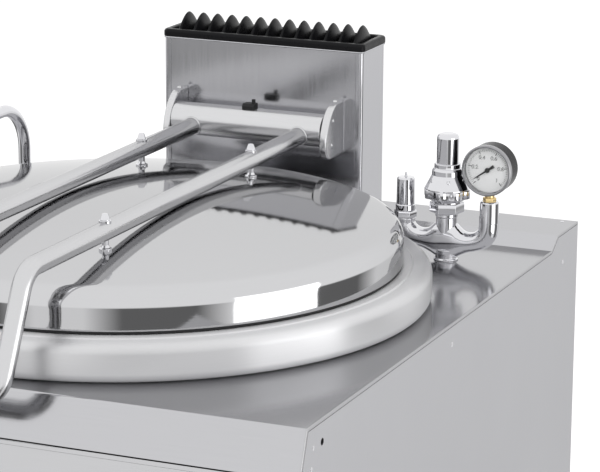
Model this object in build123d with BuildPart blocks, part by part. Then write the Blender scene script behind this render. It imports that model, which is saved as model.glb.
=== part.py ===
"""Gas-fired steam jacketed kettle with a counterbalanced lid, as separate pieces in one frame.

Millimetres, +Z up, X to the right and Y to the back. The origin is on the floor, under the
middle of the overall box. The front carries the lid handle and the draw-off tap.
"""
import os
from math import atan2, cos, hypot, radians, sin, sqrt, tan

from build123d import *

os.makedirs("parts", exist_ok=True)

# ---------------------------------------------------------------- driving dimensions
cabinet_width = 800.0
half_width = cabinet_width / 2
top_z = 900.0                    # height of the worktop above the floor
tap_reach = 92.0                 # how far the draw-off tap stands out in front of the worktop
inlet_reach = 20.0               # how far the rear inlets stand out behind the cabinet

plate = 3.0                      # worktop and control panel sheet
panel = 2.0                      # side, front and back panels
floor_gap = 110.0                # underside of the cabinet above the floor

apron_lean = 20.5                # degrees from upright, shared by apron and control panel
apron_drop = 50.0
shadow_gap = 6.0
control_drop = 150.0
lip = 12.0
front_panel_set_back = 22.0

pan_radius = 300.0
pan_wall = 2.5
pan_depth = 378.0                # from the worktop down to the bottom of the pan
pan_rim_z = top_z + 42.5
pan_floor_z = top_z - pan_depth
pan_knuckle = 80.0
worktop_hole = pan_radius + 10.0

collar_inner = pan_radius + 18.0
collar_width = 47.4
collar_radius = collar_inner + collar_width
collar_wall = 2.5
collar_top = 45.0
collar_roll = 22.4
collar_bead_outer = collar_inner + 23.0
collar_bead_step = 1.6
collar_bead_slope = 1.0

steam_gap = 29.5                 # between the pan and the jacket round it
steam_depth = 52.0               # between the bottom of the pan and that of the jacket
jacket_wall = 3.0
jacket_radius = pan_radius + pan_wall + steam_gap + jacket_wall
jacket_top_z = top_z - 40.0
jacket_floor_z = pan_floor_z - steam_depth
jacket_knuckle = 90.0
insulation_thickness = 25.0
insulation_gap = 5.0             # between the insulation and the front panel

flue_gap = 35.6                  # between the collar and the flue
flue_depth = 78.5
flue_back_gap = 33.5             # between the flue and the rear edge of the worktop
pan_set_back = front_panel_set_back + insulation_gap + insulation_thickness + jacket_radius
cabinet_depth = pan_set_back + collar_radius + flue_gap + flue_depth + flue_back_gap
overall_depth = tap_reach + cabinet_depth + inlet_reach
front_y = -overall_depth / 2 + tap_reach
back_y = front_y + cabinet_depth
pan_y = front_y + pan_set_back
flue_front = pan_y + collar_radius + flue_gap
flue_back = flue_front + flue_depth

ledge_rise = 15.0
ledge_slope_start = flue_front + 5.0
ledge_start = ledge_slope_start + 24.0

lid_radius = collar_inner + 13.0
lid_wall = 2.0
lid_skirt_z = top_z + 49.0
lid_crown_z = top_z + 120.0
lid_dome_radius = 2060.0
lid_edge_round = 22.6
seal_clearance = 0.3
seal_width = 5.0
seal_inset = 0.5

flue_half = 140.5
flue_top_z = top_z + 236.6
flue_corner = 5.0
duct_half = 130.0
duct_inset = 4.0
duct_depth = 40.0
duct_drop = 420.0
duct_ledge = 4.0                 # how far the worktop reaches in over the duct's wall

hinge_plate_radius = 35.5
hinge_y = flue_front - hinge_plate_radius
hinge_z = top_z + 137.0
hinge_plate_thickness = 10.0
hinge_plate_round = 2.5
hinge_half = 115.5               # outer face of each hinge plate
hinge_tube_radius = 21.2
hinge_tube_bore = 17.8
hinge_end_gap = 0.5
hinge_plug = 14.0
shaft_radius = 10.0
shaft_end_set_back = 1.0
spring_end_gap = 2.0
running_clearance = 0.05
spring_radius = 15.5
cut_margin = 5.0                 # how far a cut runs past the face that it opens

arm_x = 75.0
arm_z = top_z + 131.0
arm_radius = 11.0
arm_wall = 1.5
handle_corner_y = front_y + 3.3
handle_bar_y = front_y - 61.0
handle_bar_z = top_z
handle_bend = 34.0
stud_spread = 198.0              # of each stud from the middle of the lid, front to back
stud_radius = 4.0
stud_foot_radius = 7.5
nut_radius = 7.1
nut_top = 20.5                   # above the middle line of the arms
nut_dome_radius = 5.9
nut_dome_height = 6.0
nut_dome_bevel = 2.5

# ---------------------------------------------------------------- shared helpers
lean = radians(apron_lean)
plate_x = hinge_half - hinge_plate_thickness


def slope_y(z, inset=0.0):
    """Y of the leaning front at height z, moved inwards square to the lean by inset."""
    return front_y - tan(lean) * (top_z - z) + inset / cos(lean)


def inner_line(points, thickness):
    """The bend line of a folded sheet, moved to its right by thickness with mitred corners."""
    directions = []
    for (ax, ay), (bx, by) in zip(points, points[1:]):
        length = hypot(bx - ax, by - ay)
        directions.append(((bx - ax) / length, (by - ay) / length))
    inner = []
    for index, (px, py) in enumerate(points):
        before = directions[max(index - 1, 0)]
        after = directions[min(index, len(directions) - 1)]
        nx = before[1] + after[1]
        ny = -before[0] - after[0]
        scale = 2 * thickness / (nx * nx + ny * ny)
        inner.append((px + nx * scale, py + ny * scale))
    return inner


def strip(points, thickness):
    """Closed outline of a folded sheet that follows the points."""
    return points + inner_line(points, thickness)[::-1]


def upright(y):
    """Upright plane across the cabinet at y: first axis X, second axis Z."""
    return Plane.XZ.offset(-y)


def about(x, y):
    """Vertical axis through x, y."""
    return Axis((x, y, 0), (0, 0, 1))


def finish(part, name):
    """Label one piece and write it."""
    part.label = name
    export_step(part, f"parts/{name}.step")


# ---------------------------------------------------------------- feet and base frame
foot_x = half_width - 60.0
foot_front = front_y + 90.0
foot_back = back_y - 70.0
foot_radius = 26.0
foot_pad = 9.0
foot_pad_edge = 6.0
foot_pad_bevel = 4.0
foot_nut_width = 5.0
foot_nut_height = 8.0
foot_stem = 8.0
foot_stem_top = 82.0
leg_radius = 25.0
leg_bottom = 48.0
rail = 40.0
rail_wall = 3.0
frame_half = half_width - panel
frame_front = front_y + front_panel_set_back
frame_back = back_y - panel
foot_places = {
    "foot_front_left": (-foot_x, foot_front),
    "foot_front_right": (foot_x, foot_front),
    "foot_rear_left": (-foot_x, foot_back),
    "foot_rear_right": (foot_x, foot_back),
}

for foot_name, (foot_at_x, foot_at_y) in foot_places.items():
    with BuildPart() as foot:
        with BuildSketch(upright(foot_at_y)):
            with BuildLine():
                Polyline(
                    (foot_at_x, 0),
                    (foot_at_x + foot_radius, 0),
                    (foot_at_x + foot_radius, foot_pad_edge),
                    (foot_at_x + foot_radius - foot_pad_bevel, foot_pad),
                    (foot_at_x + foot_stem + foot_nut_width, foot_pad + foot_nut_height),
                    (foot_at_x + foot_stem, foot_pad + foot_nut_height),
                    (foot_at_x + foot_stem, foot_stem_top),
                    (foot_at_x, foot_stem_top),
                    close=True,
                )
            make_face()
        revolve(axis=about(foot_at_x, foot_at_y))
    finish(foot.part, foot_name)

frame_mid_y = (frame_front + frame_back) / 2
frame_length = frame_back - frame_front
with BuildPart() as base_frame:
    with BuildSketch(Plane.XY.offset(floor_gap)):
        with Locations((0, frame_mid_y)):
            Rectangle(2 * frame_half, frame_length)
            Rectangle(2 * (frame_half - rail), frame_length - 2 * rail, mode=Mode.SUBTRACT)
    extrude(amount=rail)
    with BuildSketch(Plane.XY.offset(floor_gap)):
        with Locations((0, frame_mid_y)):
            Rectangle(2 * (frame_half - rail_wall), frame_length - 2 * rail_wall)
            Rectangle(
                2 * (frame_half - rail + rail_wall),
                frame_length - 2 * (rail - rail_wall),
                mode=Mode.SUBTRACT,
            )
    extrude(amount=rail - rail_wall, mode=Mode.SUBTRACT)
    with BuildSketch(Plane.XY.offset(leg_bottom)):
        with Locations(*foot_places.values()):
            Circle(leg_radius)
    extrude(amount=floor_gap + rail - leg_bottom)
    with BuildSketch(Plane.XY.offset(leg_bottom)):
        with Locations(*foot_places.values()):
            Circle(foot_stem)
    extrude(amount=foot_stem_top - leg_bottom, mode=Mode.SUBTRACT)
finish(base_frame.part, "base_frame")

# ---------------------------------------------------------------- cabinet panels
apron_z = top_z - apron_drop
control_top_z = apron_z - shadow_gap
control_bottom_z = control_top_z - control_drop
side_hole_radius = 4.0
side_hole_inset = 39.5           # of the plain hole near the front corner of each side
side_hole_drop = 25.0

worktop_line = [
    (slope_y(apron_z) + lip, apron_z),
    (slope_y(apron_z), apron_z),
    (front_y, top_z),
    (ledge_slope_start, top_z),
    (ledge_start, top_z + ledge_rise),
    (back_y, top_z + ledge_rise),
]
control_line = [
    (frame_front, control_bottom_z),
    (slope_y(control_bottom_z), control_bottom_z),
    (slope_y(control_top_z), control_top_z),
    (slope_y(control_top_z) + lip, control_top_z),
]

with BuildPart() as side_profile:
    with BuildSketch(Plane.YZ):
        with BuildLine():
            Polyline(
                *inner_line(worktop_line, plate)[2:],
                (back_y, floor_gap),
                (frame_front, floor_gap),
                *inner_line(control_line, plate)[:2],
                close=True,
            )
        make_face()
        for bend_line in (worktop_line, control_line):
            with BuildLine():
                Polyline(*strip(bend_line, plate), close=True)
            make_face(mode=Mode.SUBTRACT)
        with Locations((front_y + side_hole_inset, top_z - side_hole_drop)):
            Circle(side_hole_radius, mode=Mode.SUBTRACT)
    extrude(amount=panel)

for side_name, side_x in (("side_panel_left", -half_width), ("side_panel_right", half_width - panel)):
    with BuildPart() as side_panel:
        add(side_profile.part.moved(Location((side_x, 0, 0))))
    finish(side_panel.part, side_name)

inlet_z = 240.0
inlet_places = {
    "gas_inlet": (half_width - 140.0, inlet_z, 10.5, 17.0),
    "cold_water_inlet": (100.0 - half_width, inlet_z, 9.0, 15.0),
    "hot_water_inlet": (160.0 - half_width, inlet_z, 9.0, 15.0),
}
inlet_tail = 40.0
inlet_nut = 8.0
inlet_wall = 2.5

with BuildPart() as back_panel:
    with BuildSketch(upright(back_y)):
        with BuildLine():
            Polyline(
                (-frame_half, floor_gap),
                (frame_half, floor_gap),
                (frame_half, top_z + ledge_rise - plate),
                (-frame_half, top_z + ledge_rise - plate),
                close=True,
            )
        make_face()
        for inlet_x, inlet_height, inlet_radius, nut_size in inlet_places.values():
            with Locations((inlet_x, inlet_height)):
                Circle(inlet_radius, mode=Mode.SUBTRACT)
    extrude(amount=panel)
finish(back_panel.part, "back_panel")

drain_z = pan_floor_z + 33.0
drain_radius = 30.0
drain_bore = 26.5

with BuildPart() as front_panel:
    with BuildSketch(upright(frame_front)):
        with BuildLine():
            Polyline(
                (-half_width, floor_gap),
                (half_width, floor_gap),
                (half_width, control_bottom_z),
                (-half_width, control_bottom_z),
                close=True,
            )
        make_face()
        with Locations((0, drain_z)):
            Circle(drain_radius, mode=Mode.SUBTRACT)
    extrude(amount=panel)
finish(front_panel.part, "front_panel")

# ---------------------------------------------------------------- worktop and collar
group_x = collar_radius - 74.4   # safety group, over the right rear corner
group_y = pan_y + collar_radius - 51.4
spout_x = 60.4 - collar_radius
spout_y = group_y
group_hole = 9.0
spout_hole = 9.0
worktop_nose = 2.5

duct_mid_y = flue_back - duct_inset - duct_depth / 2
with BuildPart() as worktop:
    with BuildSketch(Plane.YZ):
        with BuildLine():
            Polyline(*strip(worktop_line, plate), close=True)
        make_face()
    extrude(amount=half_width, both=True)
    fillet(worktop.edges().filter_by(Axis.X).sort_by_distance((0, front_y, top_z))[0], worktop_nose)
    with BuildSketch(Plane.XY.offset(top_z - plate)):
        with Locations((0, pan_y)):
            Circle(worktop_hole)
        with Locations((group_x, group_y)):
            Circle(group_hole)
        with Locations((spout_x, spout_y)):
            Circle(spout_hole)
        with Locations((0, duct_mid_y)):
            Rectangle(2 * (duct_half - duct_ledge), duct_depth - 2 * duct_ledge)
    extrude(amount=ledge_rise + 2 * plate, mode=Mode.SUBTRACT)
finish(worktop.part, "worktop")

roll_centre = collar_radius - collar_roll
roll_top = collar_top - collar_bead_step
inner_roll = collar_roll - collar_wall
with BuildPart() as pan_collar:
    with BuildSketch(upright(pan_y)):
        with BuildLine():
            Polyline((collar_inner, top_z), (collar_inner, top_z + collar_top))
            Polyline(
                (collar_inner, top_z + collar_top),
                (collar_bead_outer, top_z + collar_top),
                (collar_bead_outer + collar_bead_slope, top_z + roll_top),
                (roll_centre, top_z + roll_top),
            )
            RadiusArc(
                (roll_centre, top_z + roll_top),
                (collar_radius, top_z + roll_top - collar_roll),
                collar_roll,
            )
            Polyline(
                (collar_radius, top_z + roll_top - collar_roll),
                (collar_radius, top_z),
                (collar_radius - collar_wall, top_z),
                (collar_radius - collar_wall, top_z + roll_top - collar_roll),
            )
            RadiusArc(
                (collar_radius - collar_wall, top_z + roll_top - collar_roll),
                (roll_centre, top_z + roll_top - collar_wall),
                -inner_roll,
            )
            Polyline(
                (roll_centre, top_z + roll_top - collar_wall),
                (collar_inner + collar_wall, top_z + roll_top - collar_wall),
                (collar_inner + collar_wall, top_z),
                (collar_inner, top_z),
            )
        make_face()
    revolve(axis=about(0, pan_y))
finish(pan_collar.part, "pan_collar")

# ---------------------------------------------------------------- pan, jacket and insulation
pan_outer = pan_radius + pan_wall
with BuildPart() as pan_filled:
    with BuildSketch(upright(pan_y)) as pan_half:
        with BuildLine():
            Polyline(
                (0, pan_floor_z - pan_wall),
                (pan_outer, pan_floor_z - pan_wall),
                (pan_outer, pan_rim_z),
                (0, pan_rim_z),
                close=True,
            )
        make_face()
        fillet(pan_half.vertices().sort_by_distance((pan_outer, pan_floor_z))[0], pan_knuckle + pan_wall)
    revolve(axis=about(0, pan_y))

with BuildPart() as pan:
    with BuildSketch(upright(pan_y)) as pan_wall_half:
        with BuildLine():
            Polyline(
                (0, pan_floor_z - pan_wall),
                (pan_outer, pan_floor_z - pan_wall),
                (pan_outer, pan_rim_z - pan_wall),
                (collar_inner, pan_rim_z - pan_wall),
                (collar_inner, pan_rim_z),
                (pan_radius, pan_rim_z),
                (pan_radius, pan_floor_z),
                (0, pan_floor_z),
                close=True,
            )
        make_face()
        pan_corners = pan_wall_half.vertices()
        fillet(pan_corners.sort_by_distance((pan_outer, pan_floor_z - pan_wall))[0], pan_knuckle + pan_wall)
        pan_corners = pan_wall_half.vertices()
        fillet(pan_corners.sort_by_distance((pan_radius, pan_floor_z))[0], pan_knuckle)
    revolve(axis=about(0, pan_y))
    with BuildSketch(upright(pan_y)):
        with Locations((0, drain_z)):
            Circle(drain_bore)
    extrude(amount=pan_outer + cut_margin, mode=Mode.SUBTRACT)
finish(pan.part, "pan")

jacket_inner = jacket_radius - jacket_wall
with BuildPart() as jacket:
    with BuildSketch(upright(pan_y)) as jacket_half:
        with BuildLine():
            Polyline(
                (0, jacket_floor_z - jacket_wall),
                (jacket_radius, jacket_floor_z - jacket_wall),
                (jacket_radius, jacket_top_z),
                (pan_outer, jacket_top_z),
                (pan_outer, jacket_top_z - jacket_wall),
                (jacket_inner, jacket_top_z - jacket_wall),
                (jacket_inner, jacket_floor_z),
                (0, jacket_floor_z),
                close=True,
            )
        make_face()
        jacket_corners = jacket_half.vertices()
        fillet(
            jacket_corners.sort_by_distance((jacket_radius, jacket_floor_z - jacket_wall))[0],
            jacket_knuckle + jacket_wall,
        )
        jacket_corners = jacket_half.vertices()
        fillet(jacket_corners.sort_by_distance((jacket_inner, jacket_floor_z))[0], jacket_knuckle)
    revolve(axis=about(0, pan_y))
    with BuildSketch(upright(pan_y)):
        with Locations((0, drain_z)):
            Circle(drain_radius)
    extrude(amount=jacket_radius + cut_margin, mode=Mode.SUBTRACT)
finish(jacket.part, "jacket")

insulation_bottom_z = jacket_floor_z + jacket_knuckle
with BuildPart() as insulation:
    with BuildSketch(Plane.XY.offset(insulation_bottom_z)):
        with Locations((0, pan_y)):
            Circle(jacket_radius + insulation_thickness)
            Circle(jacket_radius, mode=Mode.SUBTRACT)
    extrude(amount=jacket_top_z - insulation_bottom_z)
    with BuildSketch(upright(pan_y)):
        with Locations((0, drain_z)):
            Circle(drain_radius)
    extrude(amount=jacket_radius + insulation_thickness + cut_margin, mode=Mode.SUBTRACT)
finish(insulation.part, "insulation")

# ---------------------------------------------------------------- burner on its carrier
carrier_z = jacket_floor_z - 130.0
carrier_size = 30.0
carrier_wall = 2.5
carrier_spread = 130.0
burner_count = 5
burner_radius = 18.0
burner_length = 420.0
burner_pitch = 90.0
manifold_radius = 14.0

with BuildPart() as burner_carrier:
    with BuildSketch(Plane.YZ):
        for carrier_offset in (-carrier_spread, carrier_spread):
            with Locations((pan_y + carrier_offset, carrier_z)):
                Rectangle(carrier_size, carrier_size)
                Rectangle(
                    carrier_size - 2 * carrier_wall,
                    carrier_size - 2 * carrier_wall,
                    mode=Mode.SUBTRACT,
                )
    extrude(amount=frame_half, both=True)
finish(burner_carrier.part, "burner_carrier")

burner_z = carrier_z + carrier_size / 2 + burner_radius
with BuildPart() as burner:
    with BuildSketch(upright(pan_y + burner_length / 2)):
        with Locations((0, burner_z)):
            with GridLocations(burner_pitch, 1, burner_count, 1):
                Circle(burner_radius)
    extrude(amount=burner_length)
    with BuildSketch(Plane.YZ):
        with Locations((pan_y - burner_length / 2 + manifold_radius, burner_z)):
            Circle(manifold_radius)
    extrude(amount=(burner_count - 1) / 2 * burner_pitch + burner_radius, both=True)
finish(burner.part, "burner")

# ---------------------------------------------------------------- draw-off pipe and tap
tap_body_radius = 40.0
tap_y = front_y - tap_reach + tap_body_radius
tap_plug_radius = 30.0
tap_top_z = drain_z + 44.0
tap_bottom_z = drain_z - 46.0
tap_outlet_z = drain_z - 82.0
tap_outlet_bore = 24.0
tap_outlet_wall = 6.0
tap_neck_radius = 35.0
tap_flange_thickness = 10.0
tap_stem_radius = 9.0
tap_stem_top = tap_top_z + 30.0
tap_flange_radius = 48.0
tap_lever_length = 130.0
tap_cover = 5.0

with BuildPart() as drain_pipe:
    with BuildSketch(upright(pan_y)):
        with Locations((0, drain_z)):
            Circle(drain_radius)
            Circle(drain_bore, mode=Mode.SUBTRACT)
    extrude(amount=pan_y - frame_front + panel)
    add(pan_filled.part, mode=Mode.SUBTRACT)
finish(drain_pipe.part, "drain_pipe")

with BuildPart() as tap_body:
    with BuildSketch(Plane.XY.offset(tap_bottom_z)):
        with Locations((0, tap_y)):
            Circle(tap_body_radius)
    extrude(amount=tap_top_z - tap_bottom_z)
    with BuildSketch(Plane.XY.offset(tap_outlet_z)):
        with Locations((0, tap_y)):
            Circle(tap_outlet_bore + tap_outlet_wall)
    extrude(amount=tap_bottom_z - tap_outlet_z)
    with BuildSketch(upright(frame_front - panel)):
        with Locations((0, drain_z)):
            Circle(tap_neck_radius)
    extrude(amount=frame_front - panel - tap_y)
    with BuildSketch(upright(frame_front - panel)):
        with Locations((0, drain_z)):
            Circle(tap_flange_radius)
    extrude(amount=tap_flange_thickness)
    with BuildSketch(upright(frame_front - panel)):
        with Locations((0, drain_z)):
            Circle(drain_bore)
    extrude(amount=frame_front - panel - tap_y, mode=Mode.SUBTRACT)
    with BuildSketch(Plane.XY.offset(tap_bottom_z + tap_cover)):
        with Locations((0, tap_y)):
            Circle(tap_plug_radius + running_clearance)
    extrude(amount=tap_top_z - tap_bottom_z, mode=Mode.SUBTRACT)
    with BuildSketch(Plane.XY.offset(tap_outlet_z)):
        with Locations((0, tap_y)):
            Circle(tap_outlet_bore)
    extrude(amount=tap_top_z - tap_outlet_z, mode=Mode.SUBTRACT)
finish(tap_body.part, "tap_body")

plug_gap = 0.4
plug_port = tap_outlet_bore - 1.0
plug_port_rise = 10.0
with BuildPart() as tap_plug:
    with BuildSketch(Plane.XY.offset(tap_bottom_z + tap_cover + plug_gap)):
        with Locations((0, tap_y)):
            Circle(tap_plug_radius)
    extrude(amount=tap_top_z - tap_bottom_z - tap_cover - plug_gap)
    with BuildSketch(Plane.XY.offset(tap_top_z)):
        with Locations((0, tap_y)):
            Circle(tap_stem_radius)
    extrude(amount=tap_stem_top - tap_top_z)
    with BuildSketch(Plane.XY.offset(tap_bottom_z)):
        with Locations((0, tap_y)):
            Circle(plug_port)
    extrude(amount=drain_z - tap_bottom_z + plug_port_rise, mode=Mode.SUBTRACT)
    with BuildSketch(Plane.YZ):
        with Locations((tap_y, drain_z)):
            Circle(plug_port)
    extrude(amount=tap_body_radius, mode=Mode.SUBTRACT)
finish(tap_plug.part, "tap_plug")

lever_hub_radius = 16.0
lever_hub_height = 12.0
lever_z = tap_stem_top - lever_hub_height / 2
lever_width = 12.0
lever_thickness = 7.0
lever_grip_radius = 9.0
lever_grip_length = 45.0
lever_grip_round = 4.0
lever_root = tap_stem_radius + 4.0
with BuildPart() as tap_lever:
    with BuildSketch(Plane.XY.offset(tap_stem_top - lever_hub_height)):
        with Locations((0, tap_y)):
            Circle(lever_hub_radius)
            Circle(tap_stem_radius, mode=Mode.SUBTRACT)
    extrude(amount=lever_hub_height)
    with BuildSketch(Plane.YZ.offset(-lever_root)):
        with Locations((tap_y, lever_z)):
            Rectangle(lever_width, lever_thickness)
    extrude(amount=-(tap_lever_length - lever_grip_length))
    with BuildSketch(Plane.YZ.offset(-(tap_lever_length - lever_grip_length))):
        with Locations((tap_y, lever_z)):
            Circle(lever_grip_radius)
    extrude(amount=-lever_grip_length)
    fillet(tap_lever.edges().sort_by(Axis.X)[0], lever_grip_round)
finish(tap_lever.part, "tap_lever")

# ---------------------------------------------------------------- rear inlets
for inlet_name, (inlet_x, inlet_height, inlet_radius, nut_size) in inlet_places.items():
    with BuildPart() as inlet:
        with BuildSketch(upright(back_y + inlet_reach)):
            with Locations((inlet_x, inlet_height)):
                Circle(inlet_radius)
        extrude(amount=inlet_reach + inlet_tail)
        with BuildSketch(upright(back_y + inlet_nut)):
            with Locations((inlet_x, inlet_height)):
                RegularPolygon(nut_size, 6)
        extrude(amount=inlet_nut)
        with BuildSketch(upright(back_y + inlet_reach)):
            with Locations((inlet_x, inlet_height)):
                Circle(inlet_radius - inlet_wall)
        extrude(amount=inlet_reach + inlet_tail, mode=Mode.SUBTRACT)
    finish(inlet.part, inlet_name)

# ---------------------------------------------------------------- controls on the leaning panel
control_z = control_top_z - 68.0
outward = Vector(0, -cos(lean), sin(lean))
knob_radius = 27.0
knob_skirt = 6.0
knob_skirt_width = 5.0
knob_grip_height = 14.0
knob_grip_taper = 4.0
knob_ridge_width = 11.0
knob_ridge_height = 22.0
knob_round = 2.0
knob_gap = 1.0
spindle_radius = 5.0
spindle_hole = 7.0
spindle_end_gap = 4.0
valve_radius = 17.0
valve_depth = 55.0
valve_floor = 10.0
knob_places = {
    "gas": half_width - 190.0,
    "cold_water": 140.0 - half_width,
    "hot_water": 230.0 - half_width,
}
button_x = half_width - 110.0
button_radius = 8.0
button_bezel = 12.0
button_bezel_height = 3.0
button_sleeve = 9.5
button_sleeve_length = 30.0
button_floor = 2.0
button_length = 24.0
button_rest = 1.0                # how far the pressed button still stands out of its ring
button_bevel = 1.0
button_travel = 4.0


def on_control(x, out=0.0):
    """Plane on the leaning control panel at x, its outer face, moved out by out."""
    origin = Vector(x, slope_y(control_z), control_z) + outward * out
    return Plane(origin=origin, x_dir=(1, 0, 0), z_dir=outward)


with BuildPart() as control_panel:
    with BuildSketch(Plane.YZ):
        with BuildLine():
            Polyline(*strip(control_line, plate), close=True)
        make_face()
    extrude(amount=half_width, both=True)
    for knob_x in knob_places.values():
        with BuildSketch(on_control(knob_x, cut_margin)):
            Circle(spindle_hole)
        extrude(amount=-plate - 2 * cut_margin, mode=Mode.SUBTRACT)
    with BuildSketch(on_control(button_x, cut_margin)):
        Circle(button_sleeve)
    extrude(amount=-plate - 2 * cut_margin, mode=Mode.SUBTRACT)
finish(control_panel.part, "control_panel")

for knob_name, knob_x in knob_places.items():
    with BuildPart() as valve:
        with BuildSketch(on_control(knob_x, -plate)):
            Circle(valve_radius)
        extrude(amount=-valve_depth)
        with BuildSketch(on_control(knob_x, -plate)):
            Circle(spindle_radius + running_clearance)
        extrude(amount=-valve_depth + valve_floor, mode=Mode.SUBTRACT)
    finish(valve.part, f"{knob_name}_valve")
    with BuildPart() as knob:
        with BuildSketch(on_control(knob_x, knob_gap)):
            Circle(knob_radius)
        extrude(amount=knob_skirt)
        with BuildSketch(on_control(knob_x, knob_gap + knob_skirt)):
            Circle(knob_radius - knob_skirt_width)
        extrude(amount=knob_grip_height, taper=knob_grip_taper)
        with BuildSketch(on_control(knob_x, knob_gap + knob_skirt)):
            Rectangle(knob_ridge_width, 2 * (knob_radius - knob_skirt_width))
        extrude(amount=knob_ridge_height)
        fillet(knob.faces().sort_by(Axis(Vector(0, 0, 0), outward))[-1].edges(), knob_round)
        with BuildSketch(on_control(knob_x, knob_gap)):
            Circle(spindle_radius)
        extrude(amount=-plate - knob_gap - valve_depth + valve_floor + spindle_end_gap)
    finish(knob.part, f"{knob_name}_knob")

with BuildPart() as igniter_body:
    with BuildSketch(on_control(button_x)):
        Circle(button_bezel)
    extrude(amount=button_bezel_height)
    with BuildSketch(on_control(button_x)):
        Circle(button_sleeve)
    extrude(amount=-plate - button_sleeve_length)
    with BuildSketch(on_control(button_x, button_bezel_height)):
        Circle(button_radius + running_clearance)
    extrude(
        amount=-button_bezel_height - plate - button_sleeve_length + button_floor,
        mode=Mode.SUBTRACT,
    )
finish(igniter_body.part, "igniter_body")

with BuildPart() as igniter_button:
    with BuildSketch(on_control(button_x, button_bezel_height + button_travel + button_rest)):
        Circle(button_radius)
    extrude(amount=-button_length)
    chamfer(igniter_button.edges().sort_by(Axis(Vector(0, 0, 0), outward))[-1], button_bevel)
finish(igniter_button.part, "igniter_button")

# ---------------------------------------------------------------- flue, duct and grate
flue_mid_y = (flue_front + flue_back) / 2
flue_wall = 2.0
with BuildPart() as flue:
    with BuildSketch(Plane.XY.offset(top_z)):
        with Locations((0, flue_mid_y)):
            RectangleRounded(2 * flue_half, flue_depth, flue_corner)
            RectangleRounded(
                2 * (flue_half - flue_wall),
                flue_depth - 2 * flue_wall,
                flue_corner - flue_wall,
                mode=Mode.SUBTRACT,
            )
    extrude(amount=flue_top_z - top_z)
    with BuildSketch(Plane.YZ):
        with BuildLine():
            Polyline(
                (flue_front - cut_margin, top_z - cut_margin),
                (flue_front - cut_margin, top_z),
                (ledge_slope_start, top_z),
                (ledge_start, top_z + ledge_rise),
                (flue_back + cut_margin, top_z + ledge_rise),
                (flue_back + cut_margin, top_z - cut_margin),
                close=True,
            )
        make_face()
    extrude(amount=half_width, both=True, mode=Mode.SUBTRACT)
finish(flue.part, "flue")

duct_top_z = top_z + ledge_rise - plate
with BuildPart() as flue_duct:
    with BuildSketch(Plane.XY.offset(duct_top_z)):
        with Locations((0, duct_mid_y)):
            Rectangle(2 * duct_half, duct_depth)
            Rectangle(2 * (duct_half - panel), duct_depth - 2 * panel, mode=Mode.SUBTRACT)
    extrude(amount=-duct_drop)
finish(flue_duct.part, "flue_duct")

grate_overhang = 2.0
grate_rim_height = 9.5
grate_rim_width = 9.0
grate_rim_round = 4.0
grate_corner = 7.0
grate_inner_corner = 4.0
fin_end_height = 5.0
fin_end_inset = 3.0
fin_count = 13
fin_pitch = 20.65
fin_thickness = 5.0
fin_height = 27.0
fin_front = flue_front + fin_end_inset
fin_back = flue_back - fin_end_inset
with BuildPart() as grate:
    with BuildSketch(Plane.XY.offset(flue_top_z)):
        with Locations((0, flue_mid_y)):
            RectangleRounded(
                2 * (flue_half + grate_overhang),
                flue_depth + 2 * grate_overhang,
                grate_corner,
            )
            RectangleRounded(
                2 * (flue_half + grate_overhang - grate_rim_width),
                flue_depth + 2 * (grate_overhang - grate_rim_width),
                grate_inner_corner,
                mode=Mode.SUBTRACT,
            )
    extrude(amount=grate_rim_height)
    fillet(grate.faces().sort_by(Axis.Z)[-1].outer_wire().edges(), grate_rim_round)
    for fin_index in range(fin_count):
        fin_x = (fin_index - (fin_count - 1) / 2) * fin_pitch
        with BuildSketch(Plane.YZ.offset(fin_x - fin_thickness / 2)):
            with BuildLine():
                ThreePointArc(
                    (fin_front, flue_top_z + fin_end_height),
                    (flue_mid_y, flue_top_z + fin_height),
                    (fin_back, flue_top_z + fin_end_height),
                )
                Polyline(
                    (fin_back, flue_top_z + fin_end_height),
                    (fin_back, flue_top_z),
                    (fin_front, flue_top_z),
                    (fin_front, flue_top_z + fin_end_height),
                )
            make_face()
        extrude(amount=fin_thickness)
finish(grate.part, "grate")

# ---------------------------------------------------------------- lid hinge on the flue
for plate_name, plate_start in (("hinge_plate_left", -hinge_half), ("hinge_plate_right", plate_x)):
    with BuildPart() as hinge_plate:
        with BuildSketch(Plane.YZ.offset(plate_start)):
            with Locations((hinge_y, hinge_z)):
                Circle(hinge_plate_radius)
            with Locations(((hinge_y + flue_front) / 2, hinge_z)):
                Rectangle(flue_front - hinge_y, 2 * hinge_plate_radius)
        extrude(amount=hinge_plate_thickness)
        plate_ends = hinge_plate.faces().sort_by(Axis.X)[0], hinge_plate.faces().sort_by(Axis.X)[-1]
        rounded = [edge for end in plate_ends for edge in end.edges() if edge.center().Y < flue_front - 1]
        fillet(rounded, hinge_plate_round)
        with BuildSketch(Plane.YZ.offset(plate_start)):
            with Locations((hinge_y, hinge_z)):
                Circle(shaft_radius)
        extrude(amount=hinge_plate_thickness, mode=Mode.SUBTRACT)
    finish(hinge_plate.part, plate_name)

with BuildPart() as hinge_shaft:
    with BuildSketch(Plane.YZ):
        with Locations((hinge_y, hinge_z)):
            Circle(shaft_radius)
    extrude(amount=hinge_half - shaft_end_set_back, both=True)
finish(hinge_shaft.part, "hinge_shaft")

tube_half = plate_x - hinge_end_gap
with BuildPart() as counterbalance_spring:
    with BuildSketch(Plane.YZ):
        with Locations((hinge_y, hinge_z)):
            Circle(spring_radius)
            Circle(shaft_radius, mode=Mode.SUBTRACT)
    extrude(amount=tube_half - hinge_plug - spring_end_gap, both=True)
finish(counterbalance_spring.part, "counterbalance_spring")

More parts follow.
